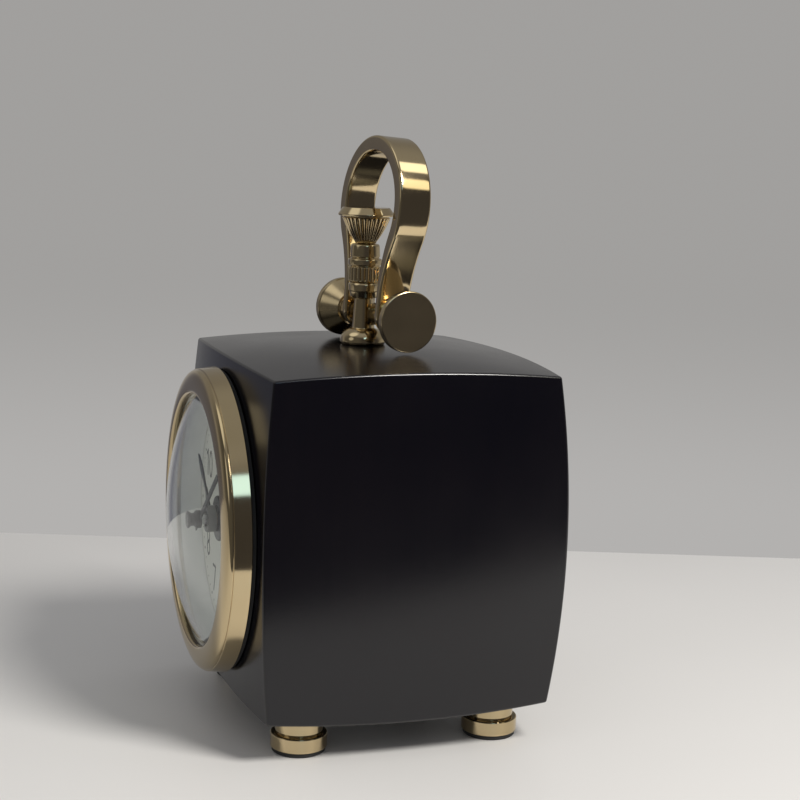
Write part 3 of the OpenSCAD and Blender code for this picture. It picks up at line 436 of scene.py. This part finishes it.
lacquer = lacquer_material()
turned_brass = brass_material("polished_brass")
cast_brass = brass_material("polished_brass_bow", turned=False, rough=(0.06, 0.12))
satin_brass = brass_material("knob_face_brass", rough=(0.14, 0.24))
wheel_brass = metal_material("wheel_brass", (0.74, 0.60, 0.34), 0.3, (900, 60, 900))
steel = metal_material("steel", (0.62, 0.63, 0.65), 0.28)
rubber = plastic_material("black_rubber", (0.012, 0.012, 0.012), (0.022, 0.022, 0.021), 0.72, 1800, 0.15)
white_plastic = plastic_material("white_plastic", (0.74, 0.74, 0.71), (0.82, 0.82, 0.79), 0.32)
black_plastic = plastic_material("black_plastic", (0.018, 0.018, 0.020), (0.030, 0.030, 0.033), 0.5)
enamel = plastic_material("black_enamel", (0.016, 0.016, 0.018), (0.028, 0.027, 0.027), 0.3)
boss_metal = metal_material("boss_metal", (0.20, 0.20, 0.20), 0.35, (900, 900, 60))
print_ink = plastic_material("dial_print", (0.035, 0.034, 0.032), (0.055, 0.053, 0.05), 0.45)
glass = glass_material()
dial_white = dial_material()
finishes = {
    "lacquered_wood": lacquer, "polished_brass": turned_brass, "wheel_brass": wheel_brass, "steel": steel,
    "black_rubber": rubber, "clear_glass": glass, "white_plastic": white_plastic, "dial_white": dial_white,
    "black_enamel": enamel, "black_plastic": black_plastic, "battery_wrap": battery_material(),
    "board_green": board_material(), "copper_wire": copper_material(),
}
for part in frame["record"]["subparts"]:
    node = frame["nodes"][part["node"]]
    node.data.materials.clear()
    node.data.materials.append(finishes[part["material_slot"]])


# Case: a block with rounded edges whose six faces and twelve edges all bow outward
def grid_lines(half, r, cells):
    arc = [r * math.tan(math.radians(a)) for a in (15, 30, 45)]
    flat = [-(half - r) + 2 * (half - r) * k / cells for k in range(cells + 1)]
    return [-(half - r) - a for a in reversed(arc)] + flat + [half - r + a for a in arc]


def bowed(p):
    """Point of the plain block, moved outward by how far each face's middle and each edge's middle stands out."""
    x, y, z = p
    u, v, w = x / HALF_W, y / HALF_D, z / HALF_H
    a, b, c = 1 - min(1, u * u), 1 - min(1, v * v), 1 - min(1, w * w)
    return Vector((x + u * (1.40 * c + 1.37 * b),
                   y + v * ((3.19 + 0.69 * v) * c + (2.94 + 0.66 * v) * a),
                   z + w * (0.86 * a + 1.96 * b + 1.20 * a * b)))


def bowed_block(r=0.7, cells=40):
    half = (HALF_W, HALF_D, HALF_H)
    lines = [grid_lines(h, r, cells) for h in half]
    bm = bmesh.new()
    made = {}

    def vert(p):
        key = tuple(round(c, 5) for c in p)
        if key not in made:
            inner = Vector([max(-(h - r), min(h - r, c)) for h, c in zip(half, p)])
            off = Vector(p) - inner
            made[key] = bm.verts.new(bowed(inner + off.normalized() * r if off.length > 1e-9 else inner))
        return made[key]

    for axis in range(3):
        i, j = [k for k in range(3) if k != axis]
        for side in (-1, 1):
            for a in range(len(lines[i]) - 1):
                for b in range(len(lines[j]) - 1):
                    quad = []
                    for da, db in ((0, 0), (1, 0), (1, 1), (0, 1)):
                        p = [0, 0, 0]
                        p[axis] = side * half[axis]
                        p[i], p[j] = lines[i][a + da], lines[j][b + db]
                        quad.append(vert(p))
                    bm.faces.new(quad)
    return bm


CAVITY, CAVITY_FRONT, BORE_R, BORE_FLOOR, STUD_HOLE_R = 42, 35.75, 43.5, 30.399, 2.6
PANEL_HALF, PANEL_CORNER, PANEL_GAP, PANEL_SEAT, LEDGE_W, LEDGE_T = 40, 4, 0.2, 43.0995, 5.5, 5
PANEL_SCREW_R, PANEL_SCREW_V = 2.5, 43.4
SCREW_AT = PANEL_HALF - 2.75
FOOT_X, FOOT_Y, FOOT_SEAT_Z = HALF_W - 13.3, HALF_D - 13.3, 11.643
FOOT_HOLE_R, FOOT_SCREW_R, FOOT_SCREW_BITE = 7.22, 2.02, 6.3
# Cutters that run out of the case end here
PAST = 90


def foot_place(sx, sy):
    return moved(sx * FOOT_X, CENTRE_Y + sy * FOOT_Y, 0)


room_end = PANEL_SEAT - LEDGE_T
case_cuts = [
    cutter(slab_mesh([(-CAVITY, -CAVITY_FRONT), (CAVITY, -CAVITY_FRONT), (CAVITY, room_end), (-CAVITY, room_end)],
                     -CAVITY, CAVITY), CASE),
    cutter(rod_mesh(BORE_R, BORE_FLOOR, PAST, 180), DIAL),
    cutter(slab_mesh(round_square(PANEL_HALF + PANEL_GAP, PANEL_CORNER + PANEL_GAP), PANEL_SEAT, PAST), UPRIGHT),
    cutter(slab_mesh(round_square(PANEL_HALF - LEDGE_W, PANEL_CORNER), room_end - 1, PANEL_SEAT + 1), UPRIGHT),
    cutter(rod_mesh(STUD_HOLE_R, -1, PAST), CASE @ moved(0, -POST_FORWARD, 0)),
]
for sx in (-1, 1):
    for sy in (-1, 1):
        case_cuts.append(cutter(rod_mesh(FOOT_HOLE_R, 0, FOOT_SEAT_Z), foot_place(sx, sy)))
        case_cuts.append(cutter(rod_mesh(FOOT_SCREW_R, 0, FOOT_SEAT_Z + FOOT_SCREW_BITE, 32), foot_place(sx, sy)))
case_skin = carve(from_bmesh("case_skin", bowed_block(), CASE), case_cuts)
finish_piece(even_normals(case_skin), "case", "lacquered_wood", lacquer, "case_shell")

panel_shape = cutter(slab_mesh(round_square(PANEL_HALF, PANEL_CORNER), PANEL_SEAT, PAST), UPRIGHT)
panel_skin = carve(from_bmesh("back_panel_skin", bowed_block(), CASE), [panel_shape], "INTERSECT")
carve(panel_skin, [cutter(rod_mesh(PANEL_SCREW_R, PANEL_SCREW_V, PAST, 48),
                          UPRIGHT @ moved(sx * SCREW_AT, sz * SCREW_AT, 0)) for sx in (-1, 1) for sz in (-1, 1)])
finish_piece(even_normals(panel_skin), "case", "lacquered_wood", lacquer, "back_panel")


# Feet
foot_top = FOOT_SEAT_Z - 0.01
foot_points = [(3.9, 1.3), (8.5, 1.3, 0.5), (8.5, 5.8, 0.4), (6.5, 5.8, 0.1), (6.5, 6.4, 0.1), (7.2, 6.4, 0.2),
               (7.2, foot_top), (2.05, foot_top), (2.05, 3.5), (3.9, 3.5)]
pad_points = [(0, 0), (7.6, 0), (8.0, 0.25, 0.2), (8.0, 1.28), (0, 1.28)]
for name, *side in (("front_left", -1, -1), ("front_right", 1, -1), ("back_left", -1, 1), ("back_right", 1, 1)):
    foot = lathe("turned_foot_" + name, foot_points, foot_place(*side), 96)
    finish_piece(foot, "case", "polished_brass", turned_brass, "foot_" + name)
    pad = lathe("rubber_pad_" + name, pad_points, foot_place(*side), 72)
    finish_piece(pad, "case", "black_rubber", rubber, "foot_pad_" + name)


# Handle post with its fluted sleeve and crown
def flutes(count, depth, z0, z1, fade, top_fade=0.5):
    """Radius function with rounded ribs between two heights, which fade out at the ends. The bore stays round."""
    def shape(r, z, t):
        lift = min(1, max(0, (z - z0) / fade)) * min(1, max(0, (z1 - z) / top_fade))
        if r < BORE_LIMIT:
            return r
        return r - depth * lift * (1 - abs(math.sin(count * t / 2)) ** 0.6)
    return shape


# Heights above the case's top
CUP, SLEEVE, RING, NECK, CROWN = 14.6, 19.3, 24.6, 27.1, 31.4
BORE_LIMIT = 3.0
SLEEVE_FLUTES, CROWN_FLUTES = 22, 28
# Each flute is this many steps of the turning
FLUTE_STEPS = 12
post_points = [(0, -11), (2.5, -11, 0.4), (2.5, 0), (6.6, 0, 0.2), (7.18, 0.75, 0.3)]
post_points += [(2.9 + polar(4.28, a)[0], 1.0 + polar(4.05, a)[1]) for a in range(4, 77, 8)]
post_points += [(3.55, 5.05, 0.3), (2.95, CUP - 0.3, 0.2), (4.3, CUP, 0.3), (4.7, CUP + 1.9, 0.1),
                (4.95, CUP + 2.2, 0.15), (5.0, CUP + 4.0, 0.4), (4.6, CUP + 4.68, 0.2), (2, CUP + 4.68),
                (2, 38.7), (0, 38.7)]
post = lathe("handle_post_turned", post_points, POST, 128)
sleeve_points = [(2.03, SLEEVE), (4.6, SLEEVE, 0.3), (5.2, SLEEVE + 0.5, 0.3)]
sleeve_points += [(5.2, SLEEVE + 0.5 + 4.2 * k / 8) for k in range(1, 8)]
sleeve_points += [(5.2, SLEEVE + 4.7, 0.3), (4.5, SLEEVE + 5.2, 0.2), (5.3, RING + 0.1, 0.3),
                  (5.3, RING + 1.9, 0.5), (4.3, RING + 2.3, 0.2), (4.7, NECK + 0.2, 0.3),
                  (4.45, CROWN - 0.2, 0.9), (2.03, CROWN - 0.02)]
sleeve = lathe("fluted_sleeve_turned", sleeve_points, POST, SLEEVE_FLUTES * FLUTE_STEPS,
               flutes(SLEEVE_FLUTES, 0.42, SLEEVE + 0.4, SLEEVE + 5.0, 0.4))
crown_points = [(2.03, 0.02), (3.1, 0.02, 0.1)]
crown_points += [(3.2 + 4.3 * (k + 0.28 * k * (1 - k)), 0.1 + 7.7 * k) for k in [i / 14 for i in range(15)]]
crown_points += [(7.1, 8.0, 0.1), (7.1, 8.4, 0.1), (8.65, 8.4, 0.15), (8.8, 8.95, 0.25), (7.3, 11.05, 0.35),
                 (0, 11.1), (0, 7.6), (2.03, 7.6)]
crown = lathe("crown_turned", crown_points, POST @ moved(0, 0, CROWN), CROWN_FLUTES * FLUTE_STEPS,
              flutes(CROWN_FLUTES, 0.6, 0.2, 8.0, 1.8))
for piece, node in ((post, "handle_post"), (sleeve, "fluted_sleeve"), (crown, "crown")):
    finish_piece(piece, "case", "polished_brass", turned_brass, node)


# Axle ends and bow
def along_axle(side):
    return AXLE @ rotated(90 * side, "Y")


AXLE_HOLE_R, KNOB_FROM = 1.53, 12.95
lug_points = [(AXLE_HOLE_R, -9.43), (3.1, -9.43), (3.4, -9.2, 0.2), (3.4, 9.2, 0.2), (3.1, 9.43),
              (AXLE_HOLE_R, 9.43)]
finish_piece(lathe("post_lug", lug_points, along_axle(1), 64), "case", "polished_brass", turned_brass)

knob_points = [(AXLE_HOLE_R, 0.02), (4.2, 0.02, 0.2), (4.4, 0.3, 0.1), (4.4, 3.3, 0.2), (5.1, 3.45, 0.15),
               (8.9, 8.9, 0.15), (9.3, 9.3, 0.3), (9.3, 11.45, 0.45), (0, 11.45), (0, 9.25), (AXLE_HOLE_R, 9.25)]
for name, side in (("left", -1), ("right", 1)):
    knob = lathe("turned_knob_" + name, knob_points, along_axle(side) @ moved(0, 0, KNOB_FROM), 160)
    finish_piece(knob, "case", "polished_brass", satin_brass, "knob_" + name)

# The bow: straight legs, two bends and a round loop
LEG, BAND_D, LOOP_R, LOOP_H, BEND_R = 11.6, 10.5, 19.1, 33.6, 44.0
LEG_T, LOOP_T, THICK_H = 2.4, 4.6, 30.6
BOW_LEAN, EYE_HOLE_R = -4, 1.55
BEND_X = LEG + BEND_R
BEND_H = LOOP_H - math.sqrt((LOOP_R + BEND_R) ** 2 - BEND_X ** 2)
BEND_ANGLE = math.atan2(LOOP_H - BEND_H, BEND_X)


def bow_path():
    """Middle line of the band from the right leg over the loop to the left leg: point and outward normal."""
    right = [((LEG, BEND_H * k / 4), (1, 0)) for k in range(4)]
    for k in range(15):
        a = math.pi - BEND_ANGLE * k / 14
        nx, nz = math.cos(a), math.sin(a)
        right.append(((BEND_X + BEND_R * nx, BEND_H + BEND_R * nz), (-nx, -nz)))
    for k in range(1, 41):
        a = -BEND_ANGLE + (math.pi / 2 + BEND_ANGLE) * k / 40
        nx, nz = math.cos(a), math.sin(a)
        right.append(((LOOP_R * nx, LOOP_H + LOOP_R * nz), (nx, nz)))
    left = [((-x, z), (-nx, nz)) for (x, z), (nx, nz) in reversed(right[:-1])]
    return right + left


def half_section(height, edge=0.8, steps=5):
    """Half of the band's rounded section as (distance from the middle, offset), from inner to outer side.
    The band grows from the leg's thickness to the loop's."""
    k = min(1, max(0, height / THICK_H))
    t, d = (LEG_T + (LOOP_T - LEG_T) * k * k * (3 - 2 * k)) / 2, BAND_D / 2
    out = [(0, -t), (d * 0.3, -t), (d * 0.6, -t)]
    for centre, from_angle in ((edge - t, -90), (t - edge, 0)):
        for k in range(steps + 1):
            x, y = polar(edge, from_angle + 90 * k / steps)
            out.append((d - edge + x, centre + y))
    return out + [(d * 0.6, t), (d * 0.3, t), (0, t)]


def bow_mesh():
    bm = bmesh.new()
    rings = []
    for (x, z), (nx, nz) in bow_path():
        half = half_section(z)
        loop = [(-s, o) for s, o in half] + [(s, o) for s, o in reversed(half[1:-1])]
        rings.append([bm.verts.new((x + nx * o, s, z + nz * o)) for s, o in loop])
    n = len(loop)
    for a, b in zip(rings, rings[1:]):
        for k in range(n):
            bm.faces.new([a[k], a[(k + 1) % n], b[(k + 1) % n], b[k]])
    # Each leg ends in half a disc about the axle
    turns = 24
    for ring, side in ((rings[0], 1), (rings[-1], -1)):
        front = ring[:len(half)]
        back = [ring[0]] + [ring[k] for k in range(n - 1, len(half) - 1, -1)] + [ring[len(half) - 1]]
        previous = front
        for k in range(1, turns + 1):
            a = math.pi * k / turns
            if k == turns:
                row = back
            else:
                row = [ring[0]] + [bm.verts.new((side * (LEG + o), -s * math.cos(a), -s * math.sin(a)))
                                   for s, o in half[1:-1]] + [ring[len(half) - 1]]
            for i in range(len(half) - 1):
                quad = list(dict.fromkeys([previous[i], previous[i + 1], row[i + 1], row[i]]))
                bm.faces.new(quad)
            previous = row
    return bm


bow_place = AXLE @ rotated(BOW_LEAN, "X")
bow = carve(from_bmesh("bow_band", bow_mesh(), bow_place),
            [cutter(rod_mesh(EYE_HOLE_R, -30, 30, 48), bow_place @ rotated(90, "Y"))])
finish_piece(even_normals(bow), "bow", "polished_brass", cast_brass, "bow")

# Bezel, glass and reflector. The bezel's lip rises from its foot to a crest near the glass
BEZEL_R, BEZEL_INNER_R = 47.1, 42.02
LIP_V, CREST_R, CREST_V, OPENING_R, FLANGE_SEAT_R = 53.5, 40.3, 55.8, 38.8, 40.8
OUTER_W, INNER_H = 5.8, 0.9
bezel_points = [(BEZEL_INNER_R, BEZEL_BACK), (BEZEL_R - 0.2, BEZEL_BACK, 0.08), (BEZEL_R, BEZEL_BACK + 0.18, 0.1),
                (46.42, 53.2, 0.12), (46.1, 53.32, 0.05), (46.15, LIP_V, 0.05)]
for k in range(1, 15):
    along, rise = polar(1, 90 * k / 14)
    bezel_points.append((CREST_R + OUTER_W * along, LIP_V + (CREST_V - LIP_V) * rise))
for k in range(1, 8):
    rise, along = polar(1, 90 * k / 8)
    bezel_points.append((CREST_R - (CREST_R - OPENING_R) * along, CREST_V - INNER_H + INNER_H * rise))
bezel_points += [(OPENING_R, 54.8, 0.1), (OPENING_R, FLANGE_TOP + 0.02), (FLANGE_SEAT_R, FLANGE_TOP + 0.02),
                 (FLANGE_SEAT_R, FLANGE_TOP - 1), (BEZEL_INNER_R, FLANGE_TOP - 1)]
bezel = lathe("bezel_turned", bezel_points, DIAL, 256)
finish_piece(bezel, "insert", "polished_brass", turned_brass, "bezel")

DOME_RISE, GLASS_T, DOME_BASE, GLASS_R, DOME_STEPS = 8.4, 1.6, 38.6, 40.55, 32
dome_r = (DOME_BASE ** 2 + DOME_RISE ** 2) / (2 * DOME_RISE)
dome_v = FLANGE_TOP + DOME_RISE - dome_r
inner_r = dome_r - GLASS_T
inner_base = math.sqrt(inner_r ** 2 - (FLANGE_TOP - 1 - dome_v) ** 2)
outer_edge = math.asin(DOME_BASE / dome_r)
inner_edge = math.asin(inner_base / inner_r)


def dome_arc(r, edge):
    """Profile of a dome from its top to its edge."""
    turns = [edge * k / DOME_STEPS for k in range(DOME_STEPS + 1)]
    return [(r * math.sin(t), dome_v + r * math.cos(t)) for t in turns]


glass_points = dome_arc(dome_r, outer_edge) + [(GLASS_R, FLANGE_TOP, 0.2), (GLASS_R, FLANGE_TOP - 1, 0.2)]
glass_points += reversed(dome_arc(inner_r, inner_edge))
crystal = lathe("glass_dome", glass_points, DIAL, 192)
crystal.modifiers.clear()
finish_piece(crystal, "insert", "clear_glass", glass, "crystal")

DIAL_R, RING_TOP, RING_STEP, RING_FOOT = 40.38, 52.58, 51.5, DIAL_V + 0.03
ring_points = [(37.3, RING_TOP, 0.2), (DIAL_R, RING_TOP), (DIAL_R, RING_STEP), (38.3, RING_STEP),
               (36.4, RING_FOOT), (35.4, RING_FOOT, 0.15)]
reflector = lathe("reflector_cone", ring_points, DIAL, 192)
finish_piece(reflector, "insert", "white_plastic", white_plastic, "reflector_ring")


# Dial with printed numerals and minute dots
def flat_plate(name, outlines, z0, z1, place, bevel=0.0):
    """Thin plate of one or more closed outlines, with an optional rounded upper edge."""
    bm = bmesh.new()
    for outline in outlines:
        part = slab_mesh(outline, z0, z1)
        mesh = bpy.data.meshes.new("part")
        part.to_mesh(mesh)
        part.free()
        bm.from_mesh(mesh)
        bpy.data.meshes.remove(mesh)
    obj = from_bmesh(name, bm, place, 30)
    if bevel:
        mod = obj.modifiers.new("bevel", "BEVEL")
        mod.width, mod.segments, mod.limit_method = bevel * MM, 2, "ANGLE"
        mod.angle_limit = math.radians(50)
    return even_normals(obj)


def stroke(points, width, end_steps=6):
    """Outline of a line of constant width with round ends along a list of points."""
    r = width / 2
    left, right = [], []
    n = len(points)
    for i, p in enumerate(points):
        a = Vector(points[max(i - 1, 0)])
        b = Vector(points[min(i + 1, n - 1)])
        d = (b - a).normalized()
        side = Vector((-d.y, d.x)) * r
        left.append(Vector(p) + side)
        right.append(Vector(p) - side)
    d0 = (Vector(points[1]) - Vector(points[0])).normalized()
    d1 = (Vector(points[-1]) - Vector(points[-2])).normalized()

    def cap(centre, direction):
        start = Vector((-direction.y, direction.x))
        turns = [math.pi * k / end_steps for k in range(1, end_steps)]
        return [Vector(centre) + r * (start * math.cos(t) + direction * math.sin(t)) for t in turns]

    return left + cap(points[-1], d1) + right[::-1] + cap(points[0], -d0)


def arc(cx, cy, rx, ry, a0, a1, steps=18):
    turns = [math.radians(a0 + (a1 - a0) * k / steps) for k in range(steps + 1)]
    return [(cx + rx * math.cos(t), cy + ry * math.sin(t)) for t in turns]


# Digits as strokes in a box 0.5 wide and 1 high, centred on the origin
DIGITS = {
    "0": [arc(0, 0, 0.22, 0.46, 90, 449, 36)],
    "1": [[(-0.14, 0.29), (0.04, 0.46)], [(0.04, 0.46), (0.04, -0.46)]],
    "2": [arc(0, 0.24, 0.21, 0.22, 165, -35) + [(-0.22, -0.46)], [(-0.22, -0.46), (0.23, -0.46)]],
    "3": [arc(0, 0.23, 0.2, 0.23, 160, -90), arc(0, -0.23, 0.22, 0.23, 90, -160)],
    "4": [[(0.12, -0.46), (0.12, 0.46)], [(0.12, 0.46), (-0.23, -0.18)], [(-0.23, -0.18), (0.24, -0.18)]],
    "5": [[(0.19, 0.46), (-0.15, 0.46)], [(-0.15, 0.46), (-0.18, 0.05)],
          arc(0, -0.17, 0.22, 0.29, 140, -150, 20)],
    "6": [arc(0.02, -0.2, 0.21, 0.26, 150, -209, 24), [(-0.18, -0.12), (-0.13, 0.16), (0.12, 0.46)]],
    "7": [[(-0.22, 0.46), (0.22, 0.46)], [(0.22, 0.46), (-0.06, -0.46)]],
    "8": [arc(0, 0.23, 0.18, 0.23, 90, 449, 28), arc(0, -0.22, 0.22, 0.25, 90, 449, 28)],
    "9": [arc(-0.02, 0.2, 0.21, 0.26, -30, 330, 24), [(0.18, 0.12), (0.13, -0.16), (-0.12, -0.46)]],
}
DIAL_T, DIAL_HOLE_R = 0.6, 4.02
NUMERAL_R, NUMERAL_H, NUMERAL_STEP, LINE_W = 26.0, 8.6, 0.56, 0.9
TRACK_R, HOUR_DOT_R, MINUTE_DOT_R = 32.6, 0.5, 0.28
dial_points = [(DIAL_HOLE_R, DIAL_V - DIAL_T), (DIAL_R, DIAL_V - DIAL_T), (DIAL_R, DIAL_V), (DIAL_HOLE_R, DIAL_V)]
finish_piece(lathe("dial_plate", dial_points, DIAL, 192), "insert", "dial_white", dial_white, "dial")
marks = []
for hour in range(1, 13):
    middle_x, middle_y = polar(NUMERAL_R, 90 - hour * 30)
    text = str(hour)
    for i, digit in enumerate(text):
        left = middle_x + (i - (len(text) - 1) / 2) * NUMERAL_H * NUMERAL_STEP
        for line in DIGITS[digit]:
            marks.append(stroke([(left + x * NUMERAL_H, middle_y + y * NUMERAL_H) for x, y in line], LINE_W))
for minute in range(60):
    at = Vector(polar(TRACK_R, minute * 6))
    size = MINUTE_DOT_R if minute % 5 else HOUR_DOT_R
    marks.append([at + Vector(polar(size, k * 30)) for k in range(12)])
numerals = flat_plate("dial_numerals", marks, DIAL_V + 0.005, DIAL_V + 0.04, DIAL)
finish_piece(numerals, "insert", "black_enamel", print_ink)

# Hands and what holds them
HOUR_ANGLE, MINUTE_ANGLE = (11 + 9 / 60) * 30, 9 * 6
HOUR_V, MINUTE_V, HAND_T, HAND_BEVEL = DIAL_V + 3.4, DIAL_V + 7.2, 0.5, 0.15
HOUR_TILT, BUSH_R = 6.8, 2.6
MINUTE_L, MINUTE_TAIL, BATON_R, HUB_R = 32, 7, 0.95, 2.8


def hour_outline(length=21.0, leaf_w=3.0, stalk=0.8):
    """Straight stalk that ends in a slim leaf."""
    leaf_l = length * 0.5
    leaf_r = (leaf_l ** 2 / 4 + leaf_w ** 2 / 4) / leaf_w
    mid = length - leaf_l / 2
    right = [(stalk, 0)]
    for k in range(25):
        z = mid - leaf_l / 2 + leaf_l * k / 24
        w = math.sqrt(max(0, leaf_r ** 2 - (z - mid) ** 2)) - (leaf_r - leaf_w / 2)
        right.append((max(w, stalk if z < mid else 0.0), z))
    return right + [(-x, z) for x, z in reversed(right[:-1])]


leaning = DIAL @ rotated(-HOUR_ANGLE, "Z") @ moved(0, 0, HOUR_V) @ rotated(HOUR_TILT, "X")
hour_hand = flat_plate("hour_hand_leaf", [hour_outline()], 0, HAND_T, leaning, HAND_BEVEL)
finish_piece(hour_hand, "hour", "black_enamel", enamel, "hour_hand")
boss_points = [(BUSH_R, DIAL_V + 2.9), (4.1, DIAL_V + 2.9, 0.15), (4.1, DIAL_V + 5.6, 0.2), (BUSH_R, DIAL_V + 5.6)]
finish_piece(lathe("hour_hand_boss", boss_points, DIAL, 96), "hour", "black_enamel", boss_metal)
baton = [(BATON_R, -MINUTE_TAIL)] + [polar(HUB_R, a) for a in range(-74, 74, 6)] + [(BATON_R, MINUTE_L - 1.2)]
minute_outline = baton + [(0, MINUTE_L)] + [(-x, z) for x, z in reversed(baton)]
minute_hand = flat_plate("minute_hand_baton", [minute_outline], MINUTE_V, MINUTE_V + HAND_T,
                         DIAL @ rotated(-MINUTE_ANGLE, "Z"), HAND_BEVEL)
finish_piece(minute_hand, "minute", "black_enamel", enamel, "minute_hand")
cap_v = MINUTE_V + HAND_T + 0.01
cap_points = [(1.72, cap_v), (2.8, cap_v, 0.1), (2.8, cap_v + 0.9, 0.3), (2.0, cap_v + 1.45, 0.4),
              (2.0, cap_v + 2.3, 0.4), (2.6, cap_v + 3.05, 0.3), (2.6, cap_v + 3.55, 0.25), (0, cap_v + 3.55),
              (0, cap_v + 1), (1.72, cap_v + 1)]
finish_piece(lathe("hand_cap", cap_points, DIAL, 64), "minute", "black_enamel", enamel, "hand_nut")
nut_points = [(DIAL_HOLE_R, DIAL_V + 0.61), (7.0, DIAL_V + 0.61, 0.2), (7.0, DIAL_V + 2.2, 0.4),
              (DIAL_HOLE_R, DIAL_V + 2.2, 0.2)]
finish_piece(lathe("dial_nut_turned", nut_points, DIAL, 96), "insert", "black_enamel", enamel, "dial_nut")

# Floor, light and camera, in metres
SHELF_FAR, SHELF_NEAR, SHELF_ROWS, SHELF_STEP = 0.727, 0.34, 8, 0.4
CAMERA = Vector((0.49214, -0.15535, 0.18060))
FORWARD = Vector((-0.93293, 0.32472, -0.15557))
RIGHT = Vector((0.32375, 0.94559, 0.03223))
UP = Vector((-0.15757, 0.02029, 0.98730))


def floor():
    """Pale shelf that ends in a straight edge behind the clock."""
    away = Vector((FORWARD.x, FORWARD.y, 0)).normalized()
    side = Vector((-away.y, away.x, 0))
    under_camera = Vector((CAMERA.x, CAMERA.y, 0))
    bm = bmesh.new()
    rows = []
    for k in range(SHELF_ROWS + 1):
        d = SHELF_FAR + (SHELF_NEAR - SHELF_FAR) * k / SHELF_ROWS
        rows.append([bm.verts.new((under_camera + away * d + side * s * SHELF_STEP) / MM) for s in range(-5, 6)])
    for a, b in zip(rows, rows[1:]):
        for k in range(len(a) - 1):
            bm.faces.new([a[k], a[k + 1], b[k + 1], b[k]])
    obj = from_bmesh("shelf", bm)
    if obj.data.polygons[0].normal.z < 0:
        obj.data.flip_normals()
    m = Nodes("pale_shelf")
    m.colour(m.ramp(m.noise(3, 2), (0.70, 0.69, 0.67), (0.74, 0.73, 0.71)))
    m.roughness(m.spread(m.noise(8, 3), 0.32, 0.42))
    obj.data.materials.append(m.material)


def world():
    """Soft even light. The camera sees pale walls, and metal and glass also mirror a dark side and soft lights."""
    w = bpy.data.worlds.new("room")
    bpy.context.scene.world = w
    w.use_nodes = True
    tree = w.node_tree
    add, link_to = tree.nodes.new, tree.links.new
    background = tree.nodes["Background"]
    direction = add("ShaderNodeTexCoord").outputs["Generated"]

    def facing(vector, low, high):
        dot = add("ShaderNodeVectorMath")
        dot.operation = "DOT_PRODUCT"
        dot.inputs[1].default_value = Vector(vector).normalized()
        link_to(direction, dot.inputs[0])
        spread = add("ShaderNodeMapRange")
        spread.interpolation_type = "SMOOTHSTEP"
        spread.inputs["From Min"].default_value, spread.inputs["From Max"].default_value = low, high
        link_to(dot.outputs["Value"], spread.inputs["Value"])
        return spread.outputs["Result"]

    def mixed(fac, a, b):
        mix = add("ShaderNodeMix")
        mix.data_type = "RGBA"
        link_to(fac, mix.inputs["Factor"])
        for socket, value in ((mix.inputs[6], a), (mix.inputs[7], b)):
            if isinstance(value, tuple):
                socket.default_value = (*value, 1)
            else:
                link_to(value, socket)
        return mix.outputs[2]

    # The wall is painted lighter towards its foot, a painted band of light on the backdrop; higher up it turns
    # darker
    wall = mixed(facing((0, 0, 1), -0.22, -0.08), (0.45, 0.44, 0.43), (0.357, 0.349, 0.34))
    wall = mixed(facing((0, 0, 1), 0.1, 0.22), wall, (0.25, 0.245, 0.24))
    room = wall
    for toward, low, high, colour in (
            # The dark sides to the right and in front, and the soft light above
            ((1, -0.1, 0), -0.1, 0.45, (0.062, 0.060, 0.064)),
            ((0.2, -1, 0.1), 0.45, 0.85, (0.10, 0.098, 0.095)),
            ((0.1, 0, 1), 0.6, 0.92, (0.34, 0.34, 0.34)),
            # Lamps: one above the front, one for the bezel's band, two for the bow and one for the knobs
            ((-0.1, -0.55, 0.83), 0.93, 0.98, (0.95, 0.95, 0.92)),
            ((0.80, -0.03, 0.59), 0.988, 0.994, (1.2, 1.9, 2.5)),
            ((0.21, 0.55, 0.81), 0.986, 0.994, (2.2, 2.2, 2.0)),
            ((0.60, 0.58, 0.56), 0.988, 0.996, (1.9, 1.8, 1.4)),
            ((0.12, -0.92, 0.36), 0.965, 0.988, (0.62, 0.62, 0.6)),
            # Dark part that the glass mirrors
            ((-0.90, -0.42, -0.16), 0.90, 0.975, (0.13, 0.13, 0.155))):
        room = mixed(facing(toward, low, high), room, colour)
    path = add("ShaderNodeLightPath")
    mirrored = add("ShaderNodeMath")
    mirrored.operation = "MAXIMUM"
    link_to(path.outputs["Is Glossy Ray"], mirrored.inputs[0])
    link_to(path.outputs["Is Transmission Ray"], mirrored.inputs[1])
    lighting = mixed(mirrored.outputs[0], (0.42, 0.42, 0.43), room)
    link_to(mixed(path.outputs["Is Camera Ray"], lighting, wall), background.inputs["Color"])
    background.inputs["Strength"].default_value = 1.0


def lamp(name, at, target, size, power):
    data = bpy.data.lights.new(name, "AREA")
    data.shape, data.size, data.energy, data.color = "DISK", size, power, (1, 0.97, 0.93)
    obj = link(bpy.data.objects.new(name, data))
    obj.location = at
    obj.rotation_mode = "QUATERNION"
    obj.rotation_quaternion = (Vector(target) - Vector(at)).to_track_quat("-Z", "Y")


floor()
world()
lamp("key", (0.48, 0.28, 0.68), (0.12, -0.02, 0.02), 0.26, 6.6)

camera_data = bpy.data.cameras.new("camera")
camera_data.lens, camera_data.sensor_width = 74.8, 36
camera_data.clip_start, camera_data.clip_end = 0.01, 20
camera = link(bpy.data.objects.new("camera", camera_data))
camera.matrix_world = Matrix.Translation(CAMERA) @ Matrix(
    [[RIGHT[i], UP[i], -FORWARD[i]] for i in range(3)]).to_4x4()
bpy.context.scene.camera = camera
bpy.context.scene.view_settings.view_transform = "Standard"
